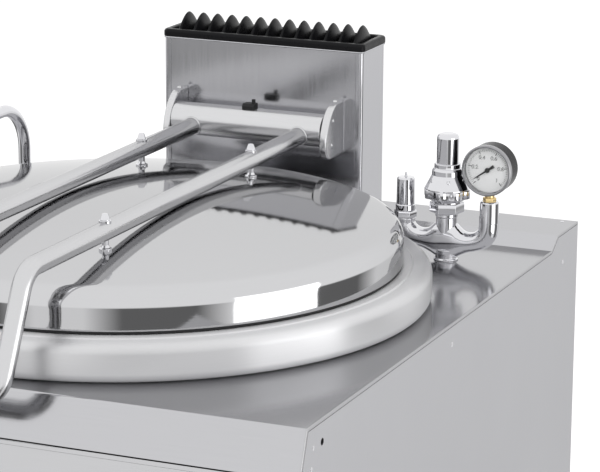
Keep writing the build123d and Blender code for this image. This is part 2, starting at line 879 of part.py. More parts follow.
# ---------------------------------------------------------------- lid, seal, frame and hinge tube
dome_centre_z = lid_crown_z - lid_dome_radius
round_centre_r = lid_radius - lid_edge_round
round_centre_z = dome_centre_z + sqrt((lid_dome_radius - lid_edge_round) ** 2 - round_centre_r**2)
edge_angle = atan2(round_centre_r, round_centre_z - dome_centre_z)


def lid_curve(inset):
    """Skirt foot, shoulder start, shoulder end, dome middle and crown, moved in by inset."""
    round_radius = lid_edge_round - inset
    dome = lid_dome_radius - inset
    half_angle = edge_angle / 2
    return (
        (lid_radius - inset, lid_skirt_z),
        (lid_radius - inset, round_centre_z),
        (round_centre_r + round_radius * sin(edge_angle), round_centre_z + round_radius * cos(edge_angle)),
        (dome * sin(half_angle), dome_centre_z + dome * cos(half_angle)),
        (0, dome_centre_z + dome),
    )


def lid_shoulder(inset):
    """Middle point of the rounded shoulder, moved in by inset."""
    middle = (radians(90) + edge_angle) / 2
    round_radius = lid_edge_round - inset
    return (round_centre_r + round_radius * sin(middle), round_centre_z + round_radius * cos(middle))


outer_foot, outer_start, outer_end, outer_mid, outer_crown = lid_curve(0)
inner_foot, inner_start, inner_end, inner_mid, inner_crown = lid_curve(lid_wall)
with BuildPart() as lid_shell:
    with BuildSketch(upright(pan_y)):
        with BuildLine():
            Line(inner_foot, outer_foot)
            Line(outer_foot, outer_start)
            ThreePointArc(outer_start, lid_shoulder(0), outer_end)
            ThreePointArc(outer_end, outer_mid, outer_crown)
            Line(outer_crown, inner_crown)
            ThreePointArc(inner_crown, inner_mid, inner_end)
            ThreePointArc(inner_end, lid_shoulder(lid_wall), inner_start)
            Line(inner_start, inner_foot)
        make_face()
    revolve(axis=about(0, pan_y))
finish(lid_shell.part, "lid_shell")

with BuildPart() as lid_seal:
    with BuildSketch(Plane.XY.offset(top_z + collar_top + seal_clearance)):
        with Locations((0, pan_y)):
            Circle(lid_radius - seal_inset)
            Circle(lid_radius - seal_width, mode=Mode.SUBTRACT)
    extrude(amount=lid_skirt_z - top_z - collar_top - seal_clearance)
finish(lid_seal.part, "lid_seal")

arm_path_points = [
    (-arm_x, hinge_y, arm_z),
    (-arm_x, handle_corner_y, arm_z),
    (-arm_x, handle_bar_y, handle_bar_z),
    (arm_x, handle_bar_y, handle_bar_z),
    (arm_x, handle_corner_y, arm_z),
    (arm_x, hinge_y, arm_z),
]
with BuildPart() as lid_frame:
    with BuildLine() as arm_path:
        FilletPolyline(*arm_path_points, radius=handle_bend)
    with BuildSketch(Plane(origin=arm_path.line @ 0, z_dir=arm_path.line % 0)):
        Circle(arm_radius)
        Circle(arm_radius - arm_wall, mode=Mode.SUBTRACT)
    sweep()
    with BuildSketch(Plane.YZ):
        with Locations((hinge_y, hinge_z)):
            Circle(hinge_tube_radius)
    extrude(amount=tube_half, both=True, mode=Mode.SUBTRACT)
finish(lid_frame.part, "lid_frame")

with BuildPart() as hinge_tube:
    with BuildSketch(Plane.YZ):
        with Locations((hinge_y, hinge_z)):
            Circle(hinge_tube_radius)
            Circle(shaft_radius + running_clearance, mode=Mode.SUBTRACT)
    extrude(amount=tube_half, both=True)
    with BuildSketch(Plane.YZ):
        with Locations((hinge_y, hinge_z)):
            Circle(hinge_tube_bore)
    extrude(amount=tube_half - hinge_plug, both=True, mode=Mode.SUBTRACT)
finish(hinge_tube.part, "hinge_tube")

stop_width = 22.0
stop_depth = 15.0
stop_height = 8.5                # of the rubber block above the hinge tube
stop_bevel = 3.0
stop_screw_x = 7.0
stop_screw_radius = 2.5
stop_screw_height = 3.0
stop_top_z = hinge_z + hinge_tube_radius + stop_height
with BuildPart() as lid_stop:
    with BuildSketch(Plane.YZ):
        with BuildLine():
            Polyline(
                (hinge_y - stop_depth / 2, hinge_z),
                (hinge_y - stop_depth / 2, stop_top_z - stop_bevel),
                (hinge_y - stop_depth / 2 + stop_bevel, stop_top_z),
                (hinge_y + stop_depth / 2, stop_top_z),
                (hinge_y + stop_depth / 2, hinge_z),
                close=True,
            )
        make_face()
    extrude(amount=stop_width / 2, both=True)
    with BuildSketch(Plane.XY.offset(stop_top_z)):
        with Locations((stop_screw_x, hinge_y)):
            Circle(stop_screw_radius)
    extrude(amount=stop_screw_height)
    with BuildSketch(Plane.YZ):
        with Locations((hinge_y, hinge_z)):
            Circle(hinge_tube_radius)
    extrude(amount=stop_width, both=True, mode=Mode.SUBTRACT)
finish(lid_stop.part, "lid_stop")

stud_places = [(x, pan_y + y) for x in (-arm_x, arm_x) for y in (-stud_spread, stud_spread)]
stud_start_z = lid_crown_z - 30.0
stud_foot_top_z = lid_crown_z - 8.5
with BuildPart() as lid_studs:
    with BuildSketch(Plane.XY.offset(stud_start_z)):
        with Locations(*stud_places):
            Circle(stud_radius)
    extrude(amount=arm_z - stud_start_z)
    with BuildSketch(Plane.XY.offset(stud_start_z)):
        with Locations(*stud_places):
            Circle(stud_foot_radius)
    extrude(amount=stud_foot_top_z - stud_start_z)
    with BuildSketch(upright(pan_y)):
        with BuildLine():
            Polyline(
                (0, stud_start_z - cut_margin),
                (outer_end[0], stud_start_z - cut_margin),
                outer_end,
            )
            ThreePointArc(outer_end, outer_mid, outer_crown)
            Line(outer_crown, (0, stud_start_z - cut_margin))
        make_face()
    revolve(axis=about(0, pan_y), mode=Mode.SUBTRACT)
    for arm_side in (-arm_x, arm_x):
        with BuildSketch(upright(hinge_y)):
            with Locations((arm_side, arm_z)):
                Circle(arm_radius)
        extrude(amount=hinge_y - handle_corner_y - handle_bend, mode=Mode.SUBTRACT)
finish(lid_studs.part, "lid_studs")

with BuildPart() as lid_nuts:
    with BuildSketch(Plane.XY.offset(arm_z)):
        with Locations(*stud_places):
            RegularPolygon(nut_radius, 6)
    extrude(amount=nut_top - nut_dome_height)
    with BuildSketch(Plane.XY.offset(arm_z + nut_top - nut_dome_height)):
        with Locations(*stud_places):
            Circle(nut_dome_radius)
    extrude(amount=nut_dome_height)
    chamfer(lid_nuts.faces().filter_by(Plane.XY).group_by(Axis.Z)[-1].edges(), nut_dome_bevel)
    for arm_side in (-arm_x, arm_x):
        with BuildSketch(upright(hinge_y)):
            with Locations((arm_side, arm_z)):
                Circle(arm_radius)
        extrude(amount=hinge_y - handle_corner_y - handle_bend, mode=Mode.SUBTRACT)
finish(lid_nuts.part, "lid_nuts")

# ---------------------------------------------------------------- safety group
arm_rise = 55.0                  # from the middle of the group to each riser
group_base_z = top_z + 24.0
manifold_tube = 11.5
group_bend = 24.0
hub_radius = 15.5
hub_neck_radius = 13.5
hub_nut_radius = 18.5
hub_nut_height = 6.0
hub_top_z = top_z + 50.0
group_tail = 45.0
collar_nut_radius = 14.0
collar_nut_height = 14.0
riser_radius = 9.8
riser_overlap = 6.0
riser_bend_top_z = group_base_z + group_bend + 5.5
riser_top_z = riser_bend_top_z + 23.5
vacuum_seat_z = group_base_z + group_bend + 1.5
vacuum_x = group_x - arm_rise
gauge_x = group_x + arm_rise + 1.0

with BuildPart() as safety_manifold:
    with BuildLine() as manifold_path:
        FilletPolyline(
            (vacuum_x, group_y, vacuum_seat_z),
            (vacuum_x, group_y, group_base_z),
            (gauge_x, group_y, group_base_z),
            (gauge_x, group_y, riser_bend_top_z),
            radius=group_bend,
        )
    with BuildSketch(Plane(origin=manifold_path.line @ 0, z_dir=manifold_path.line % 0)):
        Circle(manifold_tube)
    sweep()
    with BuildSketch(Plane.XY.offset(vacuum_seat_z - collar_nut_height)):
        with Locations((vacuum_x, group_y)):
            Circle(collar_nut_radius)
    extrude(amount=collar_nut_height)
    with BuildSketch(Plane.XY.offset(riser_bend_top_z - riser_overlap)):
        with Locations((gauge_x, group_y)):
            Circle(riser_radius)
    extrude(amount=riser_top_z - riser_bend_top_z + riser_overlap)
    with BuildSketch(Plane.XY.offset(top_z)):
        with Locations((group_x, group_y)):
            Circle(hub_neck_radius)
    extrude(amount=group_base_z - top_z)
    with BuildSketch(Plane.XY.offset(group_base_z)):
        with Locations((group_x, group_y)):
            Circle(hub_radius)
    extrude(amount=hub_top_z - group_base_z)
    with BuildSketch(Plane.XY.offset(top_z)):
        with Locations((group_x, group_y)):
            RegularPolygon(hub_nut_radius, 6)
    extrude(amount=hub_nut_height)
    with BuildSketch(Plane.XY.offset(top_z)):
        with Locations((group_x, group_y)):
            Circle(group_hole)
    extrude(amount=-group_tail)
finish(safety_manifold.part, "safety_manifold")

vacuum_body_radius = 12.0
vacuum_nut_radius = 14.5
vacuum_nut_height = 9.0
vacuum_bevel = 1.2
pin_bevel = 0.6
vacuum_top_z = top_z + 101.0
pin_radius = 2.0
pin_reach = 5.5
pin_travel = 3.0
pin_depth = 18.0
pin_end_gap = 1.0
with BuildPart() as vacuum_valve:
    with BuildSketch(Plane.XY.offset(vacuum_seat_z)):
        with Locations((vacuum_x, group_y)):
            RegularPolygon(vacuum_nut_radius, 6)
    extrude(amount=vacuum_nut_height)
    with BuildSketch(Plane.XY.offset(vacuum_seat_z + vacuum_nut_height)):
        with Locations((vacuum_x, group_y)):
            Circle(vacuum_body_radius)
    extrude(amount=vacuum_top_z - vacuum_seat_z - vacuum_nut_height)
    chamfer(vacuum_valve.faces().sort_by(Axis.Z)[-1].edges(), vacuum_bevel)
    with BuildSketch(Plane.XY.offset(vacuum_top_z)):
        with Locations((vacuum_x, group_y)):
            Circle(pin_radius + running_clearance)
    extrude(amount=-pin_depth - pin_travel - pin_end_gap, mode=Mode.SUBTRACT)
finish(vacuum_valve.part, "vacuum_valve")

with BuildPart() as vacuum_pin:
    with BuildSketch(Plane.XY.offset(vacuum_top_z - pin_depth)):
        with Locations((vacuum_x, group_y)):
            Circle(pin_radius)
    extrude(amount=pin_depth + pin_reach)
    chamfer(vacuum_pin.faces().sort_by(Axis.Z)[-1].edges(), pin_bevel)
finish(vacuum_pin.part, "vacuum_pin")

valve_collar_radius = 17.0
valve_collar_top_z = hub_top_z + 4.9
valve_neck_radius = 16.0
valve_nut_radius = 22.0
valve_nut_top_z = top_z + 69.0
valve_throat_radius = 18.0
flange_root_radius = 26.0
flange_radius = 28.0
flange_size = 30.0
flange_z = top_z + 74.6
flange_top_z = top_z + 87.4
bonnet_shoulder_radius = 19.0
bonnet_shoulder_z = top_z + 107.4
bonnet_top_radius = 18.0
bonnet_top_z = top_z + 115.4
cap_neck_radius = 16.0
cap_seat_z = top_z + 121.8
cap_top_z = top_z + 161.2
cap_radius = 14.0
cap_round = 4.0
with BuildPart() as safety_valve:
    with BuildSketch(upright(group_y)):
        with BuildLine():
            Polyline(
                (group_x, hub_top_z),
                (group_x + valve_collar_radius, hub_top_z),
                (group_x + valve_collar_radius, valve_collar_top_z),
                (group_x + valve_neck_radius, valve_collar_top_z),
                (group_x + valve_neck_radius, valve_nut_top_z),
                (group_x + valve_throat_radius, valve_nut_top_z),
                (group_x + flange_root_radius, flange_z),
                (group_x + flange_radius, flange_z),
                (group_x + flange_radius, flange_top_z),
                (group_x + bonnet_shoulder_radius, bonnet_shoulder_z),
                (group_x + bonnet_top_radius, bonnet_top_z),
                (group_x + cap_neck_radius, bonnet_top_z),
                (group_x + cap_neck_radius, cap_seat_z),
                (group_x, cap_seat_z),
                close=True,
            )
        make_face()
    revolve(axis=about(group_x, group_y))
    with BuildSketch(Plane.XY.offset(valve_collar_top_z)):
        with Locations((group_x, group_y)):
            RegularPolygon(valve_nut_radius, 6)
    extrude(amount=valve_nut_top_z - valve_collar_top_z)
    with BuildSketch(Plane.XY.offset(flange_z)):
        with Locations((group_x, group_y)):
            RegularPolygon(flange_size, 8)
    extrude(amount=flange_top_z - flange_z)
finish(safety_valve.part, "safety_valve")

with BuildPart() as safety_cap:
    with BuildSketch(Plane.XY.offset(cap_seat_z)):
        with Locations((group_x, group_y)):
            Circle(cap_radius)
    extrude(amount=cap_top_z - cap_seat_z)
    fillet(safety_cap.faces().sort_by(Axis.Z)[-1].edges(), cap_round)
finish(safety_cap.part, "safety_cap")

# ---------------------------------------------------------------- pressure gauge
gauge_z = top_z + 121.5
gauge_radius = 33.0
gauge_front = group_y - 17.0
gauge_depth = 32.0
dial_radius = 28.5
dial_set_back = 7.0
glass_thickness = 2.0
gauge_back_wall = 3.0
gauge_case_round = 2.0
glass_set_back = 1.0
needle_length = 22.0
needle_width = 1.6
needle_tail = 10.0
needle_tail_width = 3.2
needle_hub_radius = 3.2
needle_thickness = 0.8
needle_gap = 0.8                 # between the needle and the dial
needle_angle = 35.0              # degrees below the horizontal, to the left
needle_shaft = 1.5
needle_shaft_length = 12.0
fitting_nut_radius = 8.5
fitting_nut_height = 8.0
spigot_radius = 6.0
with BuildPart() as gauge_case:
    with BuildSketch(upright(gauge_front)):
        with Locations((gauge_x, gauge_z)):
            Circle(gauge_radius)
    extrude(amount=-gauge_depth)
    fillet(gauge_case.edges().filter_by(GeomType.CIRCLE), gauge_case_round)
    with BuildSketch(upright(gauge_front)):
        with Locations((gauge_x, gauge_z)):
            Circle(dial_radius)
    extrude(amount=-gauge_depth + gauge_back_wall, mode=Mode.SUBTRACT)
finish(gauge_case.part, "gauge_case")

with BuildPart() as gauge_fitting:
    with BuildSketch(Plane.XY.offset(riser_top_z)):
        with Locations((gauge_x, group_y)):
            RegularPolygon(fitting_nut_radius, 6)
    extrude(amount=fitting_nut_height)
    with BuildSketch(Plane.XY.offset(riser_top_z)):
        with Locations((gauge_x, group_y)):
            Circle(spigot_radius)
    extrude(amount=gauge_z - riser_top_z - gauge_radius / 2)
    with BuildSketch(upright(gauge_front)):
        with Locations((gauge_x, gauge_z)):
            Circle(gauge_radius)
    extrude(amount=-gauge_depth, mode=Mode.SUBTRACT)
finish(gauge_fitting.part, "gauge_fitting")

with BuildPart() as gauge_dial:
    with BuildSketch(upright(gauge_front + dial_set_back)):
        with Locations((gauge_x, gauge_z)):
            Circle(dial_radius)
            Circle(needle_shaft + running_clearance, mode=Mode.SUBTRACT)
    extrude(amount=-(gauge_depth - gauge_back_wall - dial_set_back))
finish(gauge_dial.part, "gauge_dial")

with BuildPart() as gauge_glass:
    with BuildSketch(upright(gauge_front + glass_set_back)):
        with Locations((gauge_x, gauge_z)):
            Circle(dial_radius)
    extrude(amount=-glass_thickness)
finish(gauge_glass.part, "gauge_glass")

needle_front = gauge_front + dial_set_back - needle_gap - needle_thickness
with BuildPart() as gauge_needle:
    with BuildSketch(upright(needle_front)):
        with Locations(Location((gauge_x, gauge_z, 0), (0, 0, 180 + needle_angle))):
            Circle(needle_hub_radius)
            with Locations((needle_length / 2, 0)):
                Rectangle(needle_length, needle_width)
            with Locations((-needle_tail / 2, 0)):
                Rectangle(needle_tail, needle_tail_width)
    extrude(amount=-needle_thickness)
    with BuildSketch(upright(needle_front)):
        with Locations((gauge_x, gauge_z)):
            Circle(needle_shaft)
    extrude(amount=-needle_shaft_length)
finish(gauge_needle.part, "gauge_needle")

# ---------------------------------------------------------------- water spout
spout_radius = 8.0
spout_bore = 6.5
spout_flange_radius = 18.0
spout_flange_height = 5.0
spout_boss_radius = 13.0
spout_nut_radius = 14.5
spout_nut_height = 12.0
spout_tail = 40.0
spout_socket_floor = top_z + 12.0
spout_end_gap = 0.3
spout_socket_z = top_z + 30.0
spout_turn = 68.0
spout_arc_z = top_z + 79.0
spout_run = 55.0
spout_tip_drop = 22.0
spout_tip_reach = 22.0
spout_tip_bend = 26.0
spout_crown_z = spout_arc_z + spout_turn
with BuildPart() as spout_base:
    with BuildSketch(Plane.XY.offset(top_z)):
        with Locations((spout_x, spout_y)):
            Circle(spout_flange_radius)
    extrude(amount=spout_flange_height)
    with BuildSketch(Plane.XY.offset(top_z + spout_flange_height)):
        with Locations((spout_x, spout_y)):
            Circle(spout_boss_radius)
    extrude(amount=spout_socket_z - top_z - spout_flange_height)
    with BuildSketch(Plane.XY.offset(spout_socket_z)):
        with Locations((spout_x, spout_y)):
            RegularPolygon(spout_nut_radius, 6)
    extrude(amount=spout_nut_height)
    with BuildSketch(Plane.XY.offset(top_z)):
        with Locations((spout_x, spout_y)):
            Circle(spout_hole)
    extrude(amount=-spout_tail)
    with BuildSketch(Plane.XY.offset(spout_socket_floor)):
        with Locations((spout_x, spout_y)):
            Circle(spout_radius + running_clearance)
    extrude(amount=spout_socket_z + spout_nut_height - spout_socket_floor, mode=Mode.SUBTRACT)
    with BuildSketch(Plane.XY.offset(top_z - spout_tail)):
        with Locations((spout_x, spout_y)):
            Circle(spout_bore)
    extrude(amount=spout_tail + spout_socket_floor - top_z, mode=Mode.SUBTRACT)
finish(spout_base.part, "spout_base")

spout_corner_y = spout_y - spout_turn - spout_run
with BuildPart() as spout:
    with BuildLine() as spout_path:
        FilletPolyline(
            (spout_x, spout_y, spout_socket_floor + spout_end_gap),
            (spout_x, spout_y, spout_crown_z),
            (spout_x, spout_corner_y, spout_crown_z),
            (spout_x, spout_corner_y - spout_tip_reach, spout_crown_z - spout_tip_drop),
            radius=[spout_turn, spout_tip_bend],
        )
    with BuildSketch(Plane(origin=spout_path.line @ 0, z_dir=spout_path.line % 0)):
        Circle(spout_radius)
        Circle(spout_bore, mode=Mode.SUBTRACT)
    sweep()
finish(spout.part, "spout")
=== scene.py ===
# %% [markdown]
# # Steam jacketed kettle
#
# A kettle like this is a deep round pan inside a steam jacket, set into a square steel
# cabinet. Almost everything on it is stainless steel: brushed sheet on the cabinet,
# mirror-polished sheet on the lid and the flue, and bright chrome on the small fittings.
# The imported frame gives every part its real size, so this lesson only adds looks.

# %% Load the frame
import math

import bmesh
import bpy
import numpy as np
from mathutils import Matrix, Vector


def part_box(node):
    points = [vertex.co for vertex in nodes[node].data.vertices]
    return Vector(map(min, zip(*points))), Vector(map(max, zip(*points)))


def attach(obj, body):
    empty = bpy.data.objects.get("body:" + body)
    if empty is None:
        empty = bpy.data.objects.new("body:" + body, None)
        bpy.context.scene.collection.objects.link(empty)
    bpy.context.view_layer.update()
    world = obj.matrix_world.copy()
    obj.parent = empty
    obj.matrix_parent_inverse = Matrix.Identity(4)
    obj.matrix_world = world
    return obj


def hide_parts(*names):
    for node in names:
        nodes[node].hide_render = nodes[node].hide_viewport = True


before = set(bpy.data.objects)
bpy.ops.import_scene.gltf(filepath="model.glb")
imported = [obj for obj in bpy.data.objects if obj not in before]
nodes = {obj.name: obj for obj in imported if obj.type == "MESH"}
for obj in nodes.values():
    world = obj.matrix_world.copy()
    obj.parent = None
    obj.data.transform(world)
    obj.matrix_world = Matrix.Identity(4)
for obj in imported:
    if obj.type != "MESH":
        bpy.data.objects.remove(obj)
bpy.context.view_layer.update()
mm = 0.001
print("nodes in the frame:", len(nodes))

# %% [markdown]
# ## Rounding corners
#
# Sheet and bar have no truly sharp corners, and a mirror finish shows each one as a thin
# bright line. A corner could be rounded with a Bevel modifier at the end, but here most
# outlines are short lists of points, so it is easier to round the outline itself: every
# corner becomes an arc that touches both of its sides.

# %% Round the corners of a line
def rounded(points, radius, steps=6, closed=False):
    """Points of a line whose corners are arcs.

    At a corner the arc's centre lies on the line that halves the angle, at the distance
    radius over the sine of half the angle. radius is one number or one for each corner.
    A short straight piece is kept beside each arc, so that flat faces still shade flat.
    """
    points = np.asarray(points, float)
    count = len(points)
    corners = range(count) if closed else range(1, count - 1)
    radii = np.broadcast_to(np.asarray(radius, float), (len(corners),))
    pieces = [] if closed else [points[:1]]
    for corner, bend in zip(corners, radii):
        here = points[corner]
        back = points[corner - 1] - here
        ahead = points[(corner + 1) % count] - here
        back_length = np.linalg.norm(back)
        ahead_length = np.linalg.norm(ahead)
        back = back / back_length
        ahead = ahead / ahead_length
        half = math.acos(np.clip(back @ ahead, -1, 1)) / 2
        if bend <= 0 or half > 1.56:
            pieces.append(here[None])
            continue
        room = 0.49 * min(back_length, ahead_length)
        reach = min(bend / math.tan(half), room)
        bend = reach * math.tan(half)
        middle = here + (back + ahead) / np.linalg.norm(back + ahead) * bend / math.sin(half)
        start = here + back * reach - middle
        end = here + ahead * reach - middle
        turn = math.pi - 2 * half
        share = np.linspace(0, 1, steps + 1)[:, None]
        arc = (np.sin((1 - share) * turn) * start + np.sin(share * turn) * end) / math.sin(turn)
        ease = min(reach * 1.25, room)
        pieces.append(np.vstack([here + back * ease, middle + arc, here + ahead * ease]))
    if not closed:
        pieces.append(points[-1:])
    return np.vstack(pieces)


print("a rounded square has", len(rounded([(0, 0), (1, 0), (1, 1), (0, 1)], 0.2, closed=True)), "points")

# %% [markdown]
# ## Surfaces from grids
#
# Every new piece is a grid of points with a face between each four neighbours. A turned
# piece is a profile carried round an axis, a pipe is a circle carried along a path, and a
# plate is an outline carried from one face to the other. numpy works out the whole grid
# at once, and a closed grid needs no cap, because its ends shrink to a point and merge.

# %% Grid helpers
def grid_faces(points, close_rows=False, close_columns=False):
    """Flat list of points and the four-sided faces between grid neighbours."""
    rows, columns = points.shape[:2]
    index = np.arange(rows * columns).reshape(rows, columns)
    if close_rows:
        index = np.vstack([index, index[:1]])
    if close_columns:
        index = np.hstack([index, index[:, :1]])
    faces = np.stack([index[:-1, :-1], index[1:, :-1], index[1:, 1:], index[:-1, 1:]], axis=-1)
    return points.reshape(-1, 3), faces.reshape(-1, 4)


def stand(points, axis):
    """Turn points that were made round the Z axis so that they lie round another one."""
    if axis == "X":
        return points[..., [2, 0, 1]]
    if axis == "Y":
        return points[..., [0, 2, 1]] * (1, -1, 1)
    return points


def turned(profile, centre=(0, 0, 0), axis="Z", segments=96, closed=False):
    """A profile of (radius, height) carried round an axis: x = r cos a, y = r sin a, z = h."""
    profile = np.asarray(profile, float)
    angle = np.linspace(0, 2 * math.pi, segments, endpoint=False)
    radius = profile[:, :1]
    height = np.repeat(profile[:, 1:], segments, axis=1)
    points = np.stack([radius * np.cos(angle), radius * np.sin(angle), height], axis=-1)
    return grid_faces(stand(points, axis) + np.asarray(centre, float), closed, True)


def piped(path, radius, segments=40, end=0.0, closed=False):
    """A circle carried along a path.

    Each circle lies square to the path. Its first direction is the last one with the part
    along the path taken away, so the pipe doesn't twist. end rounds the two closed ends.
    """
    path = np.asarray(path, float)
    if closed:
        along = np.roll(path, -1, axis=0) - np.roll(path, 1, axis=0)
    else:
        along = np.gradient(path, axis=0)
    along /= np.linalg.norm(along, axis=1, keepdims=True)
    side = np.cross(along[0], (0.31, 0.17, 0.93))
    sides = []
    for direction in along:
        side = side - direction * (side @ direction)
        side = side / np.linalg.norm(side)
        sides.append(side)
    sides = np.array(sides)
    others = np.cross(along, sides)
    angle = np.linspace(0, 2 * math.pi, segments, endpoint=False)
    ring = sides[:, None] * np.cos(angle)[:, None] + others[:, None] * np.sin(angle)[:, None]
    radius = np.broadcast_to(np.asarray(radius, float), (len(path),))
    points = path[:, None] + ring * radius[:, None, None]
    if closed:
        return grid_faces(points, True, True)
    quarter = np.linspace(0, math.pi / 2, 5)[1:]
    inset = end * (1 - np.cos(quarter))
    depth = end * np.sin(quarter)
    caps = []
    for tip, sign in ((0, -1), (-1, 1)):
        shrink = np.append(radius[tip] - inset, [0.4 * (radius[tip] - end), 0])
        push = np.append(depth, [end, end])
        caps.append(path[tip] + ring[tip] * shrink[:, None, None] + sign * along[tip] * push[:, None, None])
    return grid_faces(np.concatenate([caps[0][::-1], points, caps[1]]), False, True)


def plated(outline, low, high, bevel=0.0, axis="Z", centre=(0, 0, 0), steps=3):
    """An outline carried from one height to another, with both rims rounded by bevel.

    The outline is a loop of (x, y) seen against the axis, wound anticlockwise. A rim point
    moves in along the outline's normal by bevel times one minus the cosine of its angle.
    """
    outline = np.asarray(outline, float)
    following = np.roll(outline, -1, axis=0) - outline
    following /= np.maximum(np.linalg.norm(following, axis=1, keepdims=True), 1e-12)
    normal = following + np.roll(following, 1, axis=0)
    normal = np.stack([normal[:, 1], -normal[:, 0]], axis=-1)
    normal /= np.maximum((normal**2).sum(1, keepdims=True) / 2, 1e-12)
    quarter = np.linspace(0, math.pi / 2, steps + 1)
    inset = bevel * (1 - np.sin(quarter))
    rise = bevel * (1 - np.cos(quarter))
    insets = np.concatenate([[1.3 * bevel], inset, inset[::-1], [1.3 * bevel]])
    heights = np.concatenate([[low], low + rise, high - rise[::-1], [high]])
    rings = outline[None] - normal[None] * insets[:, None, None]
    middle = np.broadcast_to(outline.mean(0), outline.shape)
    rings = np.concatenate([middle[None], rings, middle[None]])
    heights = np.concatenate([[low], heights, [high]])
    level = np.broadcast_to(heights[:, None, None], rings.shape[:2] + (1,))
    points = stand(np.concatenate([rings, level], axis=-1), axis)
    return grid_faces(points + np.asarray(centre, float), False, True)


def polygon(radius, sides, turn=0.0):
    """Corners of a regular outline, at angles turn + 360 degrees times k over sides."""
    angle = math.radians(turn) + np.arange(sides) * 2 * math.pi / sides
    return np.stack([radius * np.cos(angle), radius * np.sin(angle)], axis=-1)


def rectangle(x0, y0, x1, y1):
    """Corners of an upright rectangle, wound anticlockwise."""
    return [(x0, y0), (x1, y0), (x1, y1), (x0, y1)]


# %% [markdown]
# A finished piece is one mesh made of one or more such grids. Points that fall together
# are merged, which closes the poles, and then the faces are turned outwards. Smooth
# shading is cut along edges that turn by more than a set angle.

# %% Make one finished piece
def piece(name, parts, body, material, stands_for=(), sharp=32):
    """Join grids into one mesh object that rides on a body and stands for CAD nodes."""
    offsets = np.cumsum([0] + [len(points) for points, _ in parts])
    points = np.concatenate([points for points, _ in parts])
    faces = np.concatenate([quads + offset for (_, quads), offset in zip(parts, offsets)])
    mesh = bpy.data.meshes.new(name)
    mesh.from_pydata(points.tolist(), [], faces.tolist())
    work = bmesh.new()
    work.from_mesh(mesh)
    bmesh.ops.remove_doubles(work, verts=work.verts, dist=2e-6)
    bmesh.ops.dissolve_degenerate(work, edges=work.edges, dist=1e-7)
    bmesh.ops.recalc_face_normals(work, faces=work.faces)
    work.to_mesh(mesh)
    work.free()
    mesh.shade_smooth()
    mesh.set_sharp_from_angle(angle=math.radians(sharp))
    mesh.materials.append(material)
    thing = bpy.data.objects.new(name, mesh)
    bpy.context.scene.collection.objects.link(thing)
    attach(thing, body)
    if stands_for:
        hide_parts(*stands_for)
    return thing


# %% [markdown]
# ## Steel
#
# Stainless sheet is brushed in the mill, and the fine scratches all run one way. They
# spread a reflection across the grain and leave it sharp along the grain. The scratches
# could be a picture, but noise that is stretched along the grain needs none and has no
# tiles. One function makes every steel here from its colour, its roughness and the
# direction of its grain.

# %% Node helpers
def add_node(tree, kind, values=(), **settings):
    """Add a shader node, set its properties and fill its unlinked inputs."""
    node = tree.nodes.new(kind)
    for key, value in settings.items():
        setattr(node, key, value)
    for key, value in dict(values).items():
        node.inputs[key].default_value = value
    return node


def maths(tree, operation, first, second=None, clamp=False):
    """One Math node whose inputs are sockets or plain numbers; returns its output."""
    node = add_node(tree, "ShaderNodeMath", operation=operation, use_clamp=clamp)
    for slot_index, value in enumerate((first, second)):
        if value is None:
            continue
        if isinstance(value, (int, float)):
            node.inputs[slot_index].default_value = value
        else:
            tree.links.new(value, node.inputs[slot_index])
    return node.outputs[0]


def spread(tree, value, low, high):
    """Map a 0 to 1 noise value onto the range from low to high."""
    ends = {"From Min": 0.3, "From Max": 0.7, "To Min": low, "To Max": high}
    node = add_node(tree, "ShaderNodeMapRange", ends)
    tree.links.new(value, node.inputs["Value"])
    return node.outputs[0]


def start_material(name):
    """A new node material with its shader and the object's own coordinates."""
    material = bpy.data.materials.new(name)
    material.use_nodes = True
    tree = material.node_tree
    shader = tree.nodes["Principled BSDF"]
    place = add_node(tree, "ShaderNodeTexCoord").outputs["Object"]
    return material, tree, shader, place


def round_coordinates(tree, place, centre):
    """Coordinates that run round an upright axis: radius, angle and height."""
    split = add_node(tree, "ShaderNodeSeparateXYZ")
    tree.links.new(place, split.inputs[0])
    across = maths(tree, "SUBTRACT", split.outputs[0], centre[0])
    ahead = maths(tree, "SUBTRACT", split.outputs[1], centre[1])
    squares = [maths(tree, "MULTIPLY", way, way) for way in (across, ahead)]
    radius = maths(tree, "SQRT", maths(tree, "ADD", *squares))
    angle = maths(tree, "ARCTAN2", ahead, across)
    join = add_node(tree, "ShaderNodeCombineXYZ")
    tree.links.new(radius, join.inputs[0])
    tree.links.new(angle, join.inputs[1])
    tree.links.new(split.outputs[2], join.inputs[2])
    return join.outputs[0]


def noise(tree, place, stretch, scale, detail=4.0):
    """Noise whose grain is drawn out where stretch is small."""
    mapping = add_node(tree, "ShaderNodeMapping", {"Scale": stretch})
    tree.links.new(place, mapping.inputs["Vector"])
    texture = add_node(tree, "ShaderNodeTexNoise", {"Scale": scale, "Detail": detail, "Roughness": 0.6})
    tree.links.new(mapping.outputs[0], texture.inputs["Vector"])
    return texture.outputs[0]


def tinted(tree, shader, value, colour, change):
    """Let a 0 to 1 value darken and lighten the base colour by a small share."""
    mix = add_node(tree, "ShaderNodeMix", data_type="RGBA")
    mix.inputs[6].default_value = [c * (1 - change) for c in colour] + [1]
    mix.inputs[7].default_value = [min(c * (1 + change), 1) for c in colour] + [1]
    tree.links.new(value, mix.inputs[0])
    tree.links.new(mix.outputs[2], shader.inputs["Base Color"])


def bumped(tree, shader, value, strength, distance):
    """Let a value lift the surface a little, through its normal."""
    bump = add_node(tree, "ShaderNodeBump", {"Strength": strength, "Distance": distance})
    tree.links.new(value, bump.inputs["Height"])
    tree.links.new(bump.outputs[0], shader.inputs["Normal"])


# %% One steel function
edge_tint = (0.75, 0.75, 0.75, 1)
grain_stretch = {"X": (1, 60, 60), "Y": (60, 1, 60), "Z": (60, 60, 1), "round": (60, 0.35, 60)}


